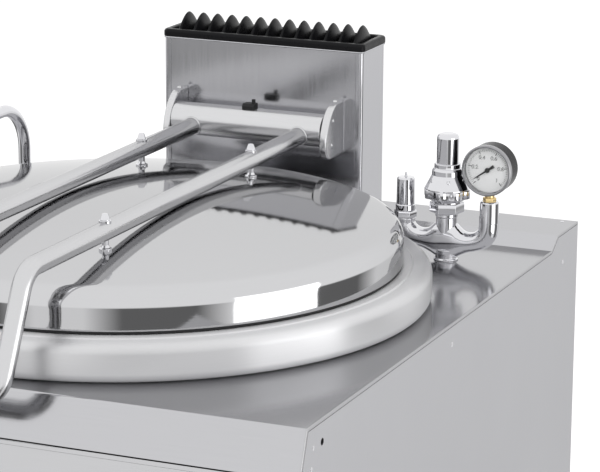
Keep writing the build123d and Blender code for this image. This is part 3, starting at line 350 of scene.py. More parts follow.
def steel(name, colour, rough, grain="X", scratch=0.03, centre=(0, 0), brushed=0.0):
    """Stainless steel: stretched noise for the scratches, wide soft noise for the handling.

    rough is the mean roughness. scratch is how much the grain changes it, and how deep the
    grain stands in the surface. brushed is how much a turned piece smears its reflections
    across its round grain.
    """
    material, tree, shader, place = start_material(name)
    if grain == "round":
        place = round_coordinates(tree, place, centre)
    lines = noise(tree, place, grain_stretch[grain], 14.0, 5.0)
    clouds = noise(tree, place, (1, 1, 1), 4.0, 3.0)
    tinted(tree, shader, lines, colour, scratch * 1.2)
    mixed = maths(tree, "ADD", maths(tree, "MULTIPLY", lines, 0.65), maths(tree, "MULTIPLY", clouds, 0.35))
    rough_range = spread(tree, mixed, max(rough - scratch, 0.02), rough + scratch)
    tree.links.new(rough_range, shader.inputs["Roughness"])
    shader.inputs["Metallic"].default_value = 1.0
    shader.inputs["Specular Tint"].default_value = edge_tint
    bumped(tree, shader, maths(tree, "MULTIPLY", lines, scratch), 0.5, 0.0012)
    if brushed:
        tangent = add_node(tree, "ShaderNodeTangent", direction_type="RADIAL", axis="Z")
        tree.links.new(tangent.outputs[0], shader.inputs["Tangent"])
        shader.inputs["Anisotropic"].default_value = brushed
        shader.inputs["Anisotropic Rotation"].default_value = 0.25
    return material


lid_low, lid_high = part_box("lid_shell")
pan_y = (lid_low.y + lid_high.y) / 2
pan_centre = (0.0, pan_y)
worktop_steel = steel("worktop_steel", (0.47, 0.47, 0.485), 0.13, "X", 0.03)
panel_steel = steel("panel_steel", (0.57, 0.57, 0.59), 0.34, "Z", 0.05)
front_steel = steel("front_steel", (0.49, 0.49, 0.50), 0.22, "X", 0.04)
lid_steel = steel("lid_steel", (0.53, 0.53, 0.54), 0.06, "round", 0.015, pan_centre)
collar_steel = steel("collar_steel", (0.72, 0.72, 0.73), 0.44, "round", 0.03, pan_centre, brushed=0.95)
pan_steel = steel("pan_steel", (0.52, 0.52, 0.53), 0.24, "round", 0.06, pan_centre)
flue_steel = steel("flue_steel", (0.52, 0.52, 0.54), 0.14, "Z", 0.03)
tube_steel = steel("tube_steel", (0.56, 0.56, 0.57), 0.20, "Y", 0.05)
hinge_steel = steel("hinge_steel", (0.59, 0.59, 0.60), 0.24, "X", 0.05)
plain_steel = steel("plain_steel", (0.46, 0.46, 0.47), 0.38, "X", 0.06)
print("steels:", [m.name for m in bpy.data.materials if m.name.endswith("steel")])

# %% [markdown]
# ## The other finishes
#
# Chrome plate is smoother than any steel sheet, so it has almost no roughness and shows
# the room in sharp black and white. Vitreous enamel is black glass melted onto iron: dark
# below, with a clear glossy skin that ripples a little. Rubber and plastic scatter light,
# and a fine noise in their height stands for the texture of the mould.

# %% Chrome, brass, enamel, rubber, plastic, paint, glass and wool
def metal(name, colour, rough, cloud=0.02, lift=0.02):
    """Plated or turned metal: one colour, with soft clouds in its roughness and height."""
    material, tree, shader, place = start_material(name)
    clouds = noise(tree, place, (1, 1, 1), 60.0, 3.0)
    tinted(tree, shader, clouds, colour, 0.03)
    tree.links.new(spread(tree, clouds, max(rough - cloud, 0.01), rough + cloud), shader.inputs["Roughness"])
    shader.inputs["Metallic"].default_value = 1.0
    bumped(tree, shader, clouds, lift, 0.0006)
    return material


def coating(name, colour, rough, grain_scale, lift, coat=0.0, change=0.15, gloss=0.5):
    """Enamel, rubber, plastic or paint: a plain colour with a fine skin texture."""
    material, tree, shader, place = start_material(name)
    fine = noise(tree, place, (1, 1, 1), grain_scale, 4.0)
    broad = noise(tree, place, (1, 1, 1), 12.0, 3.0)
    tinted(tree, shader, broad, colour, change)
    tree.links.new(spread(tree, fine, max(rough - 0.06, 0.02), rough + 0.06), shader.inputs["Roughness"])
    shader.inputs["Specular IOR Level"].default_value = gloss
    shader.inputs["Coat Weight"].default_value = coat
    shader.inputs["Coat Roughness"].default_value = 0.06
    bumped(tree, shader, fine, lift, 0.0005)
    return material


chrome = metal("chrome_plate", (0.62, 0.62, 0.64), 0.05, 0.015, 0.03)
brass = metal("bare_brass", (0.78, 0.60, 0.30), 0.24, 0.05, 0.10)
cast_brass = metal("cast_brass", (0.66, 0.52, 0.28), 0.42, 0.08, 0.35)
dark_steel = metal("oiled_steel", (0.30, 0.30, 0.31), 0.32, 0.06, 0.15)
foot_steel = metal("foot_steel", (0.62, 0.62, 0.63), 0.25, 0.05, 0.06)
tap_steel = metal("tap_steel", (0.70, 0.70, 0.72), 0.22, 0.06, 0.10)
burner_steel = metal("burner_steel", (0.48, 0.44, 0.40), 0.45, 0.08, 0.30)
enamel = coating("black_enamel", (0.006, 0.006, 0.007), 0.30, 90.0, 0.10, gloss=0.12)
rubber = coating("black_rubber", (0.018, 0.018, 0.019), 0.55, 700.0, 0.15, gloss=0.2)
case_paint = coating("case_black", (0.010, 0.010, 0.011), 0.24, 300.0, 0.04, gloss=0.08)
knob_plastic = coating("black_plastic", (0.03, 0.03, 0.032), 0.36, 900.0, 0.12)
button_plastic = coating("red_plastic", (0.42, 0.025, 0.02), 0.22, 500.0, 0.05, 0.3)
frame_paint = coating("grey_paint", (0.30, 0.31, 0.33), 0.40, 160.0, 0.10)
dial_paint = coating("dial_white", (0.80, 0.80, 0.80), 0.45, 1500.0, 0.03, 0.0, 0.03)
mark_paint = coating("mark_black", (0.015, 0.015, 0.015), 0.45, 900.0, 0.03)
wool = coating("mineral_wool", (0.60, 0.55, 0.42), 0.85, 160.0, 0.9)


def clear_glass():
    """Thin flat glass: mostly clear, with its own reflection at a low strength."""
    material, tree, shader, place = start_material("gauge_glass")
    dust = noise(tree, place, (1, 1, 1), 300.0, 3.0)
    tree.links.new(spread(tree, dust, 0.01, 0.05), shader.inputs["Roughness"])
    shader.inputs["Base Color"].default_value = (0.95, 0.97, 0.97, 1)
    shader.inputs["Transmission Weight"].default_value = 1.0
    shader.inputs["IOR"].default_value = 1.45
    shader.inputs["Alpha"].default_value = 0.22
    return material


glass = clear_glass()

# %% [markdown]
# ## The cabinet
#
# The cabinet is folded from flat sheet. Flat faces need no new mesh, so the frame's own
# nodes stay and only take the right steel. The grain follows the way each sheet is cut:
# along the front on the worktop and the front panels, and upright on the sides.

# %% Dress the frame's own nodes
dress = {
    worktop_steel: ["worktop"], front_steel: ["control_panel", "front_panel"],
    panel_steel: ["side_panel_left", "side_panel_right", "back_panel"], pan_steel: ["pan"],
    plain_steel: ["jacket", "flue_duct", "drain_pipe"], wool: ["insulation"],
    frame_paint: ["base_frame", "burner_carrier"], burner_steel: ["burner"],
    tap_steel: ["tap_body", "tap_plug", "tap_lever"],
    foot_steel: ["foot_front_left", "foot_front_right", "foot_rear_left", "foot_rear_right"],
    brass: ["gas_inlet", "cold_water_inlet", "hot_water_inlet"],
    cast_brass: ["gas_valve", "cold_water_valve", "hot_water_valve"],
    knob_plastic: ["igniter_body", "gas_knob", "cold_water_knob", "hot_water_knob"],
    button_plastic: ["igniter_button"], dark_steel: ["hinge_shaft", "counterbalance_spring"],
}
for finish, names in dress.items():
    for name in names:
        nodes[name].data.materials.clear()
        nodes[name].data.materials.append(finish)
print("frame nodes dressed:", sum(len(names) for names in dress.values()))

# %% [markdown]
# Folded sheet shows as bright lines, because its rounded edges catch the soft box. The
# frame's sheets end in sharp corners, so a thin rounded bead follows the worktop's two
# side edges. Under it a black rubber bead is painted shade: it stands in for the shadow gap
# between the worktop and the side panel. The control panel's top edge is turned up by a few
# millimetres, which leaves only a narrow shadow under the apron.

# %% Sheet edges
worktop_low, worktop_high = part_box("worktop")
ledge_top = worktop_high.z
table_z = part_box("pan_collar")[0].z
flue_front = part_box("flue")[0].y
step_start = flue_front + 5 * mm
step_end = flue_front + 29 * mm
lean = math.radians(20.5)
apron_slope = math.tan(lean)
apron_foot = worktop_low.z
apron_back = worktop_low.y + (table_z - apron_foot) * apron_slope
edge_proud = 0.05 * mm


def side_edge(drop, radius):
    """A bead along both side edges of the worktop, moved in from the outer edge by drop.

    The bead's middle line lies one radius inside the side, less edge_proud, so all but a
    sliver of the bead is sunk into the sheet and the object grows no wider.
    """
    height = table_z - drop
    line = rounded(
        [
            (worktop_low.y + drop, apron_foot + 0.5 * mm), (apron_back + 0.6 * drop, height),
            (step_start + 0.5 * drop, height), (step_end + 0.5 * drop, ledge_top - drop),
            (worktop_high.y - 0.6 * mm, ledge_top - drop),
        ],
        2 * mm, 4,
    )
    middle_x = worktop_high.x - radius + edge_proud
    return [piped(np.column_stack([np.full(len(line), x), line]), radius, 24) for x in (-middle_x, middle_x)]


piece("worktop_edge_bead", side_edge(0.6 * mm, 0.9 * mm), "cabinet", front_steel)
# The black rubber bead is painted shade: it stands in for the shadow gap between the worktop and the side
# panel.
piece("worktop_edge_shadow_bead", side_edge(3.4 * mm, 1.6 * mm), "cabinet", rubber)
lip_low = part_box("control_panel")[1].z
lip_high = apron_foot - 1.4 * mm
lip_front = worktop_low.y - (apron_foot - lip_low) * apron_slope
lip_section = rounded(
    [
        (lip_front, lip_low), (lip_front + 9 * mm, lip_low), (lip_front + 9 * mm, lip_high),
        (lip_front + (lip_high - lip_low) * apron_slope, lip_high),
    ],
    [0.2 * mm, 0.2 * mm, 0.8 * mm, 1.4 * mm], 4, closed=True,
)
lip_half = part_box("side_panel_right")[0].x - 0.4 * mm
piece(
    "control_panel_lip", [plated(lip_section, -lip_half, lip_half, 0, "X")], "cabinet", front_steel,
)
print("lip", round(lip_low, 4), "to", round(lip_high, 4))

# %% [markdown]
# ## Pan collar and lid
#
# The collar is a rolled rim that is welded round the mouth of the pan, and the lid is a
# shallow spun dome with a short upright skirt. Both are turned shapes, so one half
# section carried round the pan's axis makes each of them. The mirror finish would show
# every facet, so the section has many points and the circle has 256 steps.

# %% Collar
collar_low, collar_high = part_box("pan_collar")
collar_radius = (collar_high.x - collar_low.x) / 2
collar_top = collar_high.z
collar_inner = 318 * mm
collar_wall = 2.5 * mm
collar_roll = (collar_top - table_z) / 2 - 0.1 * mm
bead_radius = 341 * mm
bead_step = 1.6 * mm
around = 256

collar_section = rounded(
    [
        (collar_inner, table_z),
        (collar_inner, collar_top),
        (bead_radius, collar_top),
        (bead_radius + bead_step, collar_top - bead_step),
        (collar_radius, collar_top - bead_step),
        (collar_radius, table_z),
        (collar_radius - collar_roll, table_z),
        (collar_radius - collar_roll, table_z + collar_wall),
        (collar_radius - collar_wall, table_z + collar_wall),
        (collar_radius - collar_wall, collar_top - bead_step - collar_wall),
        (collar_inner + collar_wall, collar_top - bead_step - collar_wall),
        (collar_inner + collar_wall, table_z),
    ],
    [0.3 * mm, 1.2 * mm, 0.7 * mm, 0.7 * mm]
    + [collar_roll, collar_roll, 0.3 * mm, 0.3 * mm, collar_roll - collar_wall, collar_roll - collar_wall]
    + [1.5 * mm, 0.3 * mm],
    16,
    closed=True,
)
collar = piece(
    "pan_collar_skin", [turned(collar_section, (0, pan_y, 0), "Z", around, True)], "cabinet",
    collar_steel, ["pan_collar"],
)
print("collar radius", round(collar_radius, 4), "faces", len(collar.data.polygons))

# %% Lid
lid_radius = (lid_high.x - lid_low.x) / 2
lid_crown = lid_high.z
lid_foot = lid_low.z
lid_wall = 2 * mm
dome_radius = 2060 * mm
edge_round = 22.6 * mm
dome_middle = lid_crown - dome_radius
edge_r = lid_radius - edge_round
edge_z = dome_middle + math.sqrt((dome_radius - edge_round) ** 2 - edge_r**2)
edge_angle = math.atan2(edge_r, edge_z - dome_middle)


def lid_side(inset):
    """One face of the lid from crown to skirt foot, moved in by inset.

    The dome is r = R sin a, z = R cos a up to the shoulder, the shoulder is a small circle
    that starts in the same direction, and the skirt is straight.
    """
    dome = np.linspace(0, edge_angle, 48)
    shoulder = np.linspace(edge_angle, math.pi / 2, 18)[1:]
    big = dome_radius - inset
    small = edge_round - inset
    dome_line = np.stack([big * np.sin(dome), dome_middle + big * np.cos(dome)], axis=-1)
    turn_line = np.stack([edge_r + small * np.sin(shoulder), edge_z + small * np.cos(shoulder)], axis=-1)
    heights = np.linspace(edge_z, lid_foot, 6)[1:]
    skirt = np.stack([np.full(5, lid_radius - inset), heights], axis=-1)
    return np.vstack([dome_line, turn_line, skirt])


lid_outer = lid_side(0)
lid_inner = lid_side(lid_wall)[::-1]
piece(
    "lid_skin", [turned(np.vstack([lid_outer, lid_inner]), (0, pan_y, 0), "Z", around)], "lid", lid_steel,
    ["lid_shell"], 40,
)
seal_low, seal_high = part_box("lid_seal")
seal_outer = (seal_high.x - seal_low.x) / 2
seal_width = 4.5 * mm
seal_section = rounded(
    rectangle(seal_outer - seal_width, seal_low.z, seal_outer, seal_high.z), 1 * mm, 4, closed=True
)
piece(
    "lid_seal_ring", [turned(seal_section, (0, pan_y, 0), "Z", around, True)], "lid", rubber,
    ["lid_seal"],
)
print("lid radius", round(lid_radius, 4), "crown", round(lid_crown, 4))

# %% [markdown]
# ## Lid frame
#
# One round tube is bent into a long loop: two arms run forward over the lid and turn down
# into a handle. A bent tube is a circle carried along a path with rounded corners. Where
# an arm meets the hinge tube, the weld follows the line in which two cylinders cross.

# %% Arms, handle and welds
hinge_low, hinge_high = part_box("hinge_tube")
hinge_y = (hinge_low.y + hinge_high.y) / 2
hinge_z = (hinge_low.z + hinge_high.z) / 2
hinge_radius = (hinge_high.y - hinge_low.y) / 2
arms_low, arms_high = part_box("lid_frame")
arm_radius = 11 * mm
arm_x = arms_high.x - arm_radius
arm_z = arms_high.z - arm_radius
bar_y = arms_low.y + arm_radius
bar_z = arms_low.z + arm_radius
leg_run = 64.3 * mm
arm_bend = 34 * mm
arm_end = hinge_y - 0.5 * hinge_radius
arm_path = rounded(
    [
        (-arm_x, arm_end, arm_z), (-arm_x, bar_y + leg_run, arm_z), (-arm_x, bar_y, bar_z),
        (arm_x, bar_y, bar_z), (arm_x, bar_y + leg_run, arm_z), (arm_x, arm_end, arm_z),
    ],
    arm_bend, 20,
)


def saddle_weld(x, bead):
    """Weld round an arm: each point of the arm's circle is pushed on to the hinge tube.

    At height z the tube's skin is at y = hinge_y - sqrt(R squared - (z - hinge_z) squared).
    """
    turn = np.linspace(0, 2 * math.pi, 48, endpoint=False)
    across = x + (arm_radius + 0.4 * bead) * np.cos(turn)
    height = arm_z + (arm_radius + 0.4 * bead) * np.sin(turn)
    depth = np.sqrt(np.maximum(hinge_radius**2 - (height - hinge_z) ** 2, 0))
    return piped(np.stack([across, hinge_y - depth, height], axis=-1), bead, 10, closed=True)


arms = piece(
    "lid_frame_tube",
    [piped(arm_path, arm_radius, 48)] + [saddle_weld(x, 1.5 * mm) for x in (-arm_x, arm_x)], "lid",
    tube_steel, ["lid_frame"], 40,
)
print("arm height", round(arm_z, 4), "faces", len(arms.data.polygons))

# %% [markdown]
# Four short posts hold the lid to the arms. Each has a round foot that is welded to the
# dome, and a domed nut above the arm.

# %% Posts and nuts
studs_low, studs_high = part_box("lid_studs")
stud_foot_radius = 7.5 * mm
stud_radius = 4 * mm
stud_y = (studs_high.y - studs_low.y) / 2 - stud_foot_radius
stud_places = [(x, pan_y + y) for x in (-arm_x, arm_x) for y in (-stud_y, stud_y)]
stud_distance = math.hypot(arm_x, stud_y)
stud_base = dome_middle + math.sqrt(dome_radius**2 - stud_distance**2) - 1.2 * mm
stud_section = rounded(
    [
        (0, stud_base), (stud_foot_radius, stud_base), (stud_foot_radius, stud_base + 3.4 * mm),
        (stud_radius + 1.2 * mm, stud_base + 4.4 * mm), (stud_radius, stud_base + 7 * mm),
        (stud_radius, arm_z), (0, arm_z),
    ],
    0.5 * mm, 3,
)
piece(
    "lid_posts", [turned(stud_section, (x, y, 0), "Z", 28) for x, y in stud_places], "lid", chrome,
    ["lid_studs"],
)
nut_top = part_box("lid_nuts")[1].z
nut_section = rounded(
    [
        (0, arm_z), (5.6 * mm, arm_z), (5.6 * mm, nut_top - 7.5 * mm), (4.6 * mm, nut_top - 4.5 * mm),
        (3.4 * mm, nut_top - 1 * mm), (0, nut_top),
    ],
    0.9 * mm, 4,
)
washer_section = rounded(
    rectangle(0, arm_z + 6 * mm, 7.1 * mm, arm_z + arm_radius + 1.2 * mm), 0.4 * mm, 3
)
piece(
    "lid_cap_nuts",
    [
        turned(section, (x, y, 0), "Z", 24)
        for x, y in stud_places
        for section in (nut_section, washer_section)
    ],
    "lid", chrome, ["lid_nuts"],
)
print("posts at", [(round(x, 3), round(y, 3)) for x, y in stud_places])

# %% [markdown]
# ## Hinge
#
# The arms are welded to a tube that turns on a shaft between two thick plates. A plate has
# a straight back against the flue and a nose that leans a little, so its outline is half an
# ellipse, sheared back as it rises, and it is carried across with a wide, soft rim. A small
# rubber block on the tube keeps the open lid off the flue.

# %% Hinge tube, plates and block
tube_section = rounded(rectangle(0, hinge_low.x, hinge_radius, hinge_high.x), 0.8 * mm, 4)
piece(
    "hinge_tube_skin", [turned(tube_section, (0, hinge_y, hinge_z), "X", 96)], "lid", hinge_steel,
    ["hinge_tube"],
)
plate_bevel = 2.6 * mm


def screw_head(place, axis, radius, height, sign=1):
    """Low domed screw head with a small round socket in its middle."""
    section = rounded(
        [
            (0, 0.35 * height), (0.34 * radius, 0.35 * height), (0.42 * radius, height),
            (0.75 * radius, 0.85 * height), (radius, 0.1 * height), (radius, -0.5 * height),
            (0, -0.5 * height),
        ],
        0.12 * radius, 3,
    )
    return turned(section * (1, sign), place, axis, 20)


nose_reach = 27 * mm
nose_centre = 5.5 * mm
nose_lean = 0.30
for side, name in ((-1, "hinge_plate_left"), (1, "hinge_plate_right")):
    low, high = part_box(name)
    rise = (high.z - low.z) / 2 * np.sin(np.linspace(math.pi / 2, -math.pi / 2, 41))
    reach = nose_reach * np.cos(np.linspace(math.pi / 2, -math.pi / 2, 41))
    nose = np.column_stack([hinge_y + nose_centre + nose_lean * rise - reach, hinge_z + rise])
    outline = rounded(
        np.vstack([[(high.y, low.z), (high.y, high.z)], nose]), [1.4 * plate_bevel] * 2 + [0] * len(nose),
        6, closed=True,
    )
    outer_x = high.x if side > 0 else low.x
    heads = [
        screw_head((outer_x, hinge_y + dy * mm, hinge_z + dz * mm), "X", 2.6 * mm, 1.0 * mm, side)
        for dy, dz in ((0, 14), (-4.5, -17))
    ]
    cap = screw_head((outer_x - side * 5 * mm, hinge_y + 18 * mm, high.z - 0.6 * mm), "Z", 3.2 * mm, 3.0 * mm)
    piece(
        name + "_skin", [plated(outline, low.x, high.x, plate_bevel, "X", steps=6)] + heads + [cap],
        "cabinet", hinge_steel, [name],
    )
stop_low, stop_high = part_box("lid_stop")
block_top = stop_high.z - 5.5 * mm
block_outline = rounded(
    [
        (stop_low.y, hinge_z + hinge_radius - 3 * mm), (stop_high.y, hinge_z + hinge_radius - 3 * mm),
        (stop_high.y, block_top), (stop_low.y + 3 * mm, block_top), (stop_low.y, block_top - 3 * mm),
    ],
    1.2 * mm, 4, closed=True,
)
stop_screw = turned(
    rounded(rectangle(0, block_top - 1 * mm, 2.5 * mm, stop_high.z), 0.7 * mm), (4 * mm, hinge_y, 0), "Z",
    20,
)
piece(
    "lid_stop_block",
    [plated(block_outline, stop_low.x + 1.5 * mm, stop_high.x - 4 * mm, 1 * mm, "X"), stop_screw], "lid",
    rubber, ["lid_stop"],
)
print("hinge axis at", round(hinge_y, 4), round(hinge_z, 4))

# %% [markdown]
# ## Flue
#
# The flue is a flat box of polished sheet with rounded corners. Its front sheet is let in
# between the corners, which leaves a fine upright groove at each side. The groove is part
# of the outline, and the lower edge follows the step of the worktop.

# %% Flue shell
flue_low, flue_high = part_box("flue")
flue_corner = 5 * mm
groove_x = 9 * mm
groove = 0.8 * mm
flue_wall = 2 * mm


def flue_outline(inset, grooved):
    """Rounded rectangle of the flue seen from above, moved in by inset."""
    x0, x1 = flue_low.x + inset, flue_high.x - inset
    y0, y1 = flue_low.y + inset, flue_high.y - inset
    points = rectangle(x0, y0, x1, y1)
    radii = [flue_corner - inset] * 4
    if grooved:
        left, right = x0 + groove_x, x1 - groove_x
        cut = [
            (left, y0), (left, y0 + groove), (left + groove, y0 + groove), (left + groove, y0),
            (right - groove, y0), (right - groove, y0 + groove), (right, y0 + groove), (right, y0),
        ]
        points = points[:1] + cut + points[1:]
        radii = radii[:1] + [0.1 * mm] * 8 + radii[1:]
    return rounded(points, radii, 10, closed=True)


def flue_wall_grid(outline, heights):
    """Rings of one outline at several heights; a height of None follows the worktop."""
    rise = np.clip((outline[:, 1] - step_start) / (step_end - step_start), 0, 1)
    foot = table_z + rise * (ledge_top - table_z)
    rings = []
    for height in heights:
        level = foot if height is None else np.full(len(outline), height)
        rings.append(np.column_stack([outline, level]))
    return np.array(rings)


outer_line = flue_outline(0, True)
outer_rings = flue_wall_grid(outer_line, [None, flue_high.z - 1.0 * mm, flue_high.z])
centre_line = np.array([(flue_low.x + flue_high.x) / 2, (flue_low.y + flue_high.y) / 2])
half_size = np.array([(flue_high.x - flue_low.x) / 2, (flue_high.y - flue_low.y) / 2])
inner_line = centre_line + (outer_line - centre_line) * (half_size - flue_wall) / half_size
inner_rings = flue_wall_grid(inner_line, [flue_high.z, flue_high.z - 1.0 * mm, None])
piece(
    "flue_skin", [grid_faces(np.concatenate([outer_rings, inner_rings]), True, True)], "cabinet",
    flue_steel, ["flue"],
)
hem_line = flue_outline(-0.7 * mm, False)
piece(
    "flue_hem",
    [
        piped(
            np.column_stack([hem_line, np.full(len(hem_line), flue_high.z - 1.4 * mm)]), 1.2 * mm, 12,
            closed=True,
        ),
    ],
    "cabinet", flue_steel,
)
print("flue top", round(flue_high.z, 4))

# %% [markdown]
# ## Grate
#
# The grate is one iron casting: a rounded rim with a row of fins across it. A fin is wide
# at its foot and narrows to a soft ridge, and the ridge rises from front to back and falls
# again. Both curves are one formula, so a fin is a small grid of heights.

# %% Cast grate
grate_low, grate_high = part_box("grate")
rim_height = 9.5 * mm
rim_width = 9 * mm
fin_count = 13
fin_pitch = 20.65 * mm
fin_half = 6.0 * mm


def fin(x):
    """One fin: along it s runs 0 to 1 and across it t runs -1 to 1.

    The ridge height is h = H times sin(pi s) to the power 1.1, and across the fin the
    height is h times (1 - |t| to the power 1.7).
    """
    s = np.linspace(0, 1, 25)[:, None]
    t = np.linspace(-1, 1, 15)[None]
    ridge = np.maximum(np.sin(math.pi * s), 0) ** 1.1
    full = grate_high.z - grate_low.z
    height = full * ridge * (1 - np.abs(t) ** 1.7)
    width = fin_half * (0.55 + 0.45 * ridge)
    depth = grate_low.y + 5 * mm + (grate_high.y - grate_low.y - 10 * mm) * s + 0 * t
    points = np.stack([x + width * t, depth, grate_low.z + 0.5 * mm + height - 0.5 * mm], axis=-1)
    return grid_faces(points, False, True)


rim_outline = rounded(
    rectangle(grate_low.x, grate_low.y, grate_high.x, grate_high.y), 7 * mm, 10, closed=True
)
rim_centre = (rim_outline.max(0) + rim_outline.min(0)) / 2
rim_half = (rim_outline.max(0) - rim_outline.min(0)) / 2
rim_section = rounded(
    [(0, 0), (0, rim_height), (rim_width, rim_height), (rim_width, 0)],
    [0.6 * mm, 3.8 * mm, 3 * mm, 0.6 * mm], 6, closed=True,
)
rim_rings = np.array(
    [
        np.column_stack(
            [
                rim_centre + (rim_outline - rim_centre) * (rim_half - inset) / rim_half,
                np.full(len(rim_outline), grate_low.z + height),
            ],
        )
        for inset, height in rim_section
    ],
)
fin_places = (np.arange(fin_count) - (fin_count - 1) / 2) * fin_pitch
grate = piece(
    "flue_grate", [grid_faces(rim_rings, True, True)] + [fin(x) for x in fin_places], "cabinet", enamel,
    ["grate"], 50,
)
print("grate faces", len(grate.data.polygons))

# %% [markdown]
# ## Safety group
#
# A chromed casting like an anchor stands on the worktop. Its two arms carry a vacuum
# valve and a pressure gauge, and the safety valve stands on its middle. The arms flow into
# the hub with no corner, which two plain pipes can't show. So the arm's section is an
# ellipse that is stretched between two lines, one for the inside of the bend and one for
# the outside, and grows wider as it reaches the hub.

# %% Casting
cap_low, cap_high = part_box("safety_cap")
pin_low, pin_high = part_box("vacuum_pin")
case_low, case_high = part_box("gauge_case")
group_x = (cap_low.x + cap_high.x) / 2
group_y = (cap_low.y + cap_high.y) / 2
vacuum_x = (pin_low.x + pin_high.x) / 2
gauge_x = (case_low.x + case_high.x) / 2
gauge_z = (case_low.z + case_high.z) / 2
group_foot = (group_x, group_y, table_z)
vacuum_foot = (vacuum_x, group_y, table_z)
gauge_foot = (gauge_x, group_y, table_z)
# The arm's lines, across from the middle and up from the worktop, and its depth, in mm.
arm_outer = [
    (-67.5, 60), (-67.5, 46), (-65.5, 34.5), (-60, 25), (-51, 18.5), (-40, 14.5), (-29, 11.5), (-19, 7),
    (-11, 3), (0, 1.5),
]
arm_inner = [
    (-43.5, 60), (-43.5, 49), (-42.3, 43.5), (-39, 40), (-34.5, 38), (-29, 37.6), (-23, 39), (-18, 43),
    (-12, 48), (0, 51),
]
arm_thick = [12.0, 12.0, 12.0, 12.0, 12.1, 12.4, 13.0, 13.6, 14.0, 14.2]


def smooth_line(points, count):
    """A smooth curve through points.

    Between two points the curve is a cubic whose slopes are the mean slopes of its
    neighbours, so it has no corners.
    """
    points = np.asarray(points, float)
    slopes = np.gradient(points, axis=0)
    where = np.linspace(0, len(points) - 1, count)
    left = np.clip(np.floor(where).astype(int), 0, len(points) - 2)
    t = (where - left)[:, None]
    h00, h10 = 2 * t**3 - 3 * t**2 + 1, t**3 - 2 * t**2 + t
    h01, h11 = 3 * t**2 - 2 * t**3, t**3 - t**2
    return h00 * points[left] + h10 * slopes[left] + h01 * points[left + 1] + h11 * slopes[left + 1]


def cast_arm(side):
    """One arm: c + w cos a across the bend and b sin a front to back, from riser to hub."""
    outer = smooth_line(arm_outer, 60)
    inner = smooth_line(arm_inner, 60)
    thick = smooth_line([[t] for t in arm_thick], 60)
    middle, half = (outer + inner) / 2, (inner - outer) / 2
    angle = np.linspace(0, 2 * math.pi, 40, endpoint=False)
    flat = middle[:, None] + half[:, None] * np.cos(angle)[:, None]
    depth = thick * np.sin(angle)
    points = np.stack([-side * flat[..., 0], depth, flat[..., 1]], axis=-1) * mm
    return grid_faces(points + group_foot, False, True)


def stacked(steps, foot, radius=0.4, segments=48):
    """A turned post on a foot: steps are (radius, height) in mm."""
    section = rounded(np.array([(0, steps[0][1])] + steps + [(0, steps[-1][1])], float), radius, 4)
    return turned(section * mm, foot, "Z", segments)


def hexagon(radius, low, high, foot, turn=0.0, bevel=0.8, corner=0.7):
    """A hexagon nut over a foot, with softened rims; sizes in mm."""
    outline = rounded(polygon(radius, 6, turn), corner, 3, closed=True)
    return plated(outline * mm, low * mm, high * mm, bevel * mm, centre=foot)


def chromed(name, parts, stands_for=(), body="cabinet", sharp=32):
    """One bright chromed piece."""
    return piece(name, parts, body, chrome, stands_for, sharp)


chromed(
    "safety_casting",
    [
        cast_arm(-1), cast_arm(1),
        stacked([(15.5, 0), (15.5, 1.5), (13.7, 3), (13.7, 9), (15, 14)], group_foot, 0.6),
        stacked([(13, 30), (13.2, 55), (14.2, 56), (14.2, 59.6), (13.2, 60)], group_foot, 0.7),
        stacked([(12.1, 34), (12.3, 44), (13.2, 49.5)], vacuum_foot, 1.0),
        stacked([(12.0, 52), (12.0, 78.5), (10.4, 80.5)], gauge_foot, 1.2),
    ],
    ["safety_manifold"], sharp=45,
)
print("casting stands at", round(group_x, 4), round(group_y, 4))

# %% [markdown]
# The vacuum valve is a turned body on a hexagon, with a thin spring pin through its top.
# The safety valve is a stack: hexagon, lobed flange, conical bonnet with small screws,
# collar ring and a plain cap.

# %% Vacuum valve, safety valve and cap
chromed(
    "vacuum_valve_body",
    [
        hexagon(14.3, 49.6, 58.3, vacuum_foot, 12),
        stacked(
            [
                (11.2, 58), (12.5, 59.2), (12.5, 65.5), (11.6, 66.5), (11.2, 98.6), (10.2, 100.6),
                (2.6, 101),
            ],
            vacuum_foot,
        ),
    ],
    ["vacuum_valve"],
)
pin_top = (pin_high.z - table_z) / mm
chromed(
    "vacuum_valve_pin",
    [stacked([(1.9, 92), (1.9, 101.6), (1.3, 102.2), (1.1, pin_top)], vacuum_foot, 0.3, 20)],
    ["vacuum_pin"], body="vacuum_pin",
)
lobe_turn = np.linspace(0, 2 * math.pi, 144, endpoint=False)
lobe_radius = 28.3 + 1.7 * np.cos(8 * lobe_turn)
lobes = np.stack([lobe_radius * np.cos(lobe_turn), lobe_radius * np.sin(lobe_turn)], axis=-1)
flange = plated(lobes * mm, 80 * mm, 91.5 * mm, 1.4 * mm, centre=group_foot)
bonnet_screws = [
    screw_head((group_x + x, group_y + y, table_z + 101.5 * mm), "Z", 2.6 * mm, 3.6 * mm)
    for x, y in polygon(21.4 * mm, 6, -67)
]
chromed(
    "safety_valve_body",
    [
        stacked([(13.4, 59.9), (15.8, 60.4), (15.8, 62)], group_foot),
        hexagon(21.8, 61, 74, group_foot, 20, 1.2),
        stacked([(18.6, 73.5), (18.6, 75.8), (21, 76.8), (26, 80.4), (26, 82)], group_foot),
        flange,
        stacked(
            [
                (28.2, 90.5),
                (28.2, 92.4),
                (19.6, 109),
                (19.4, 114.8),
                (17.6, 117.6),
                (16.6, 118),
                (16.6, 123.4),
                (14.6, 123.8),
            ],
            group_foot,
            0.9,
            64,
        ),
    ]
    + bonnet_screws,
    ["safety_valve"],
)
chromed(
    "safety_valve_cap",
    [
        stacked(
            [(13.3, 121.9), (13.8, 122.6), (14.0, 155.4), (13.7, 157.4), (11.8, 160.2), (8, 161.2)],
            group_foot, 1.0, 64,
        ),
    ],
    ["safety_cap"],
)
print("cap top", round(cap_high.z, 4))

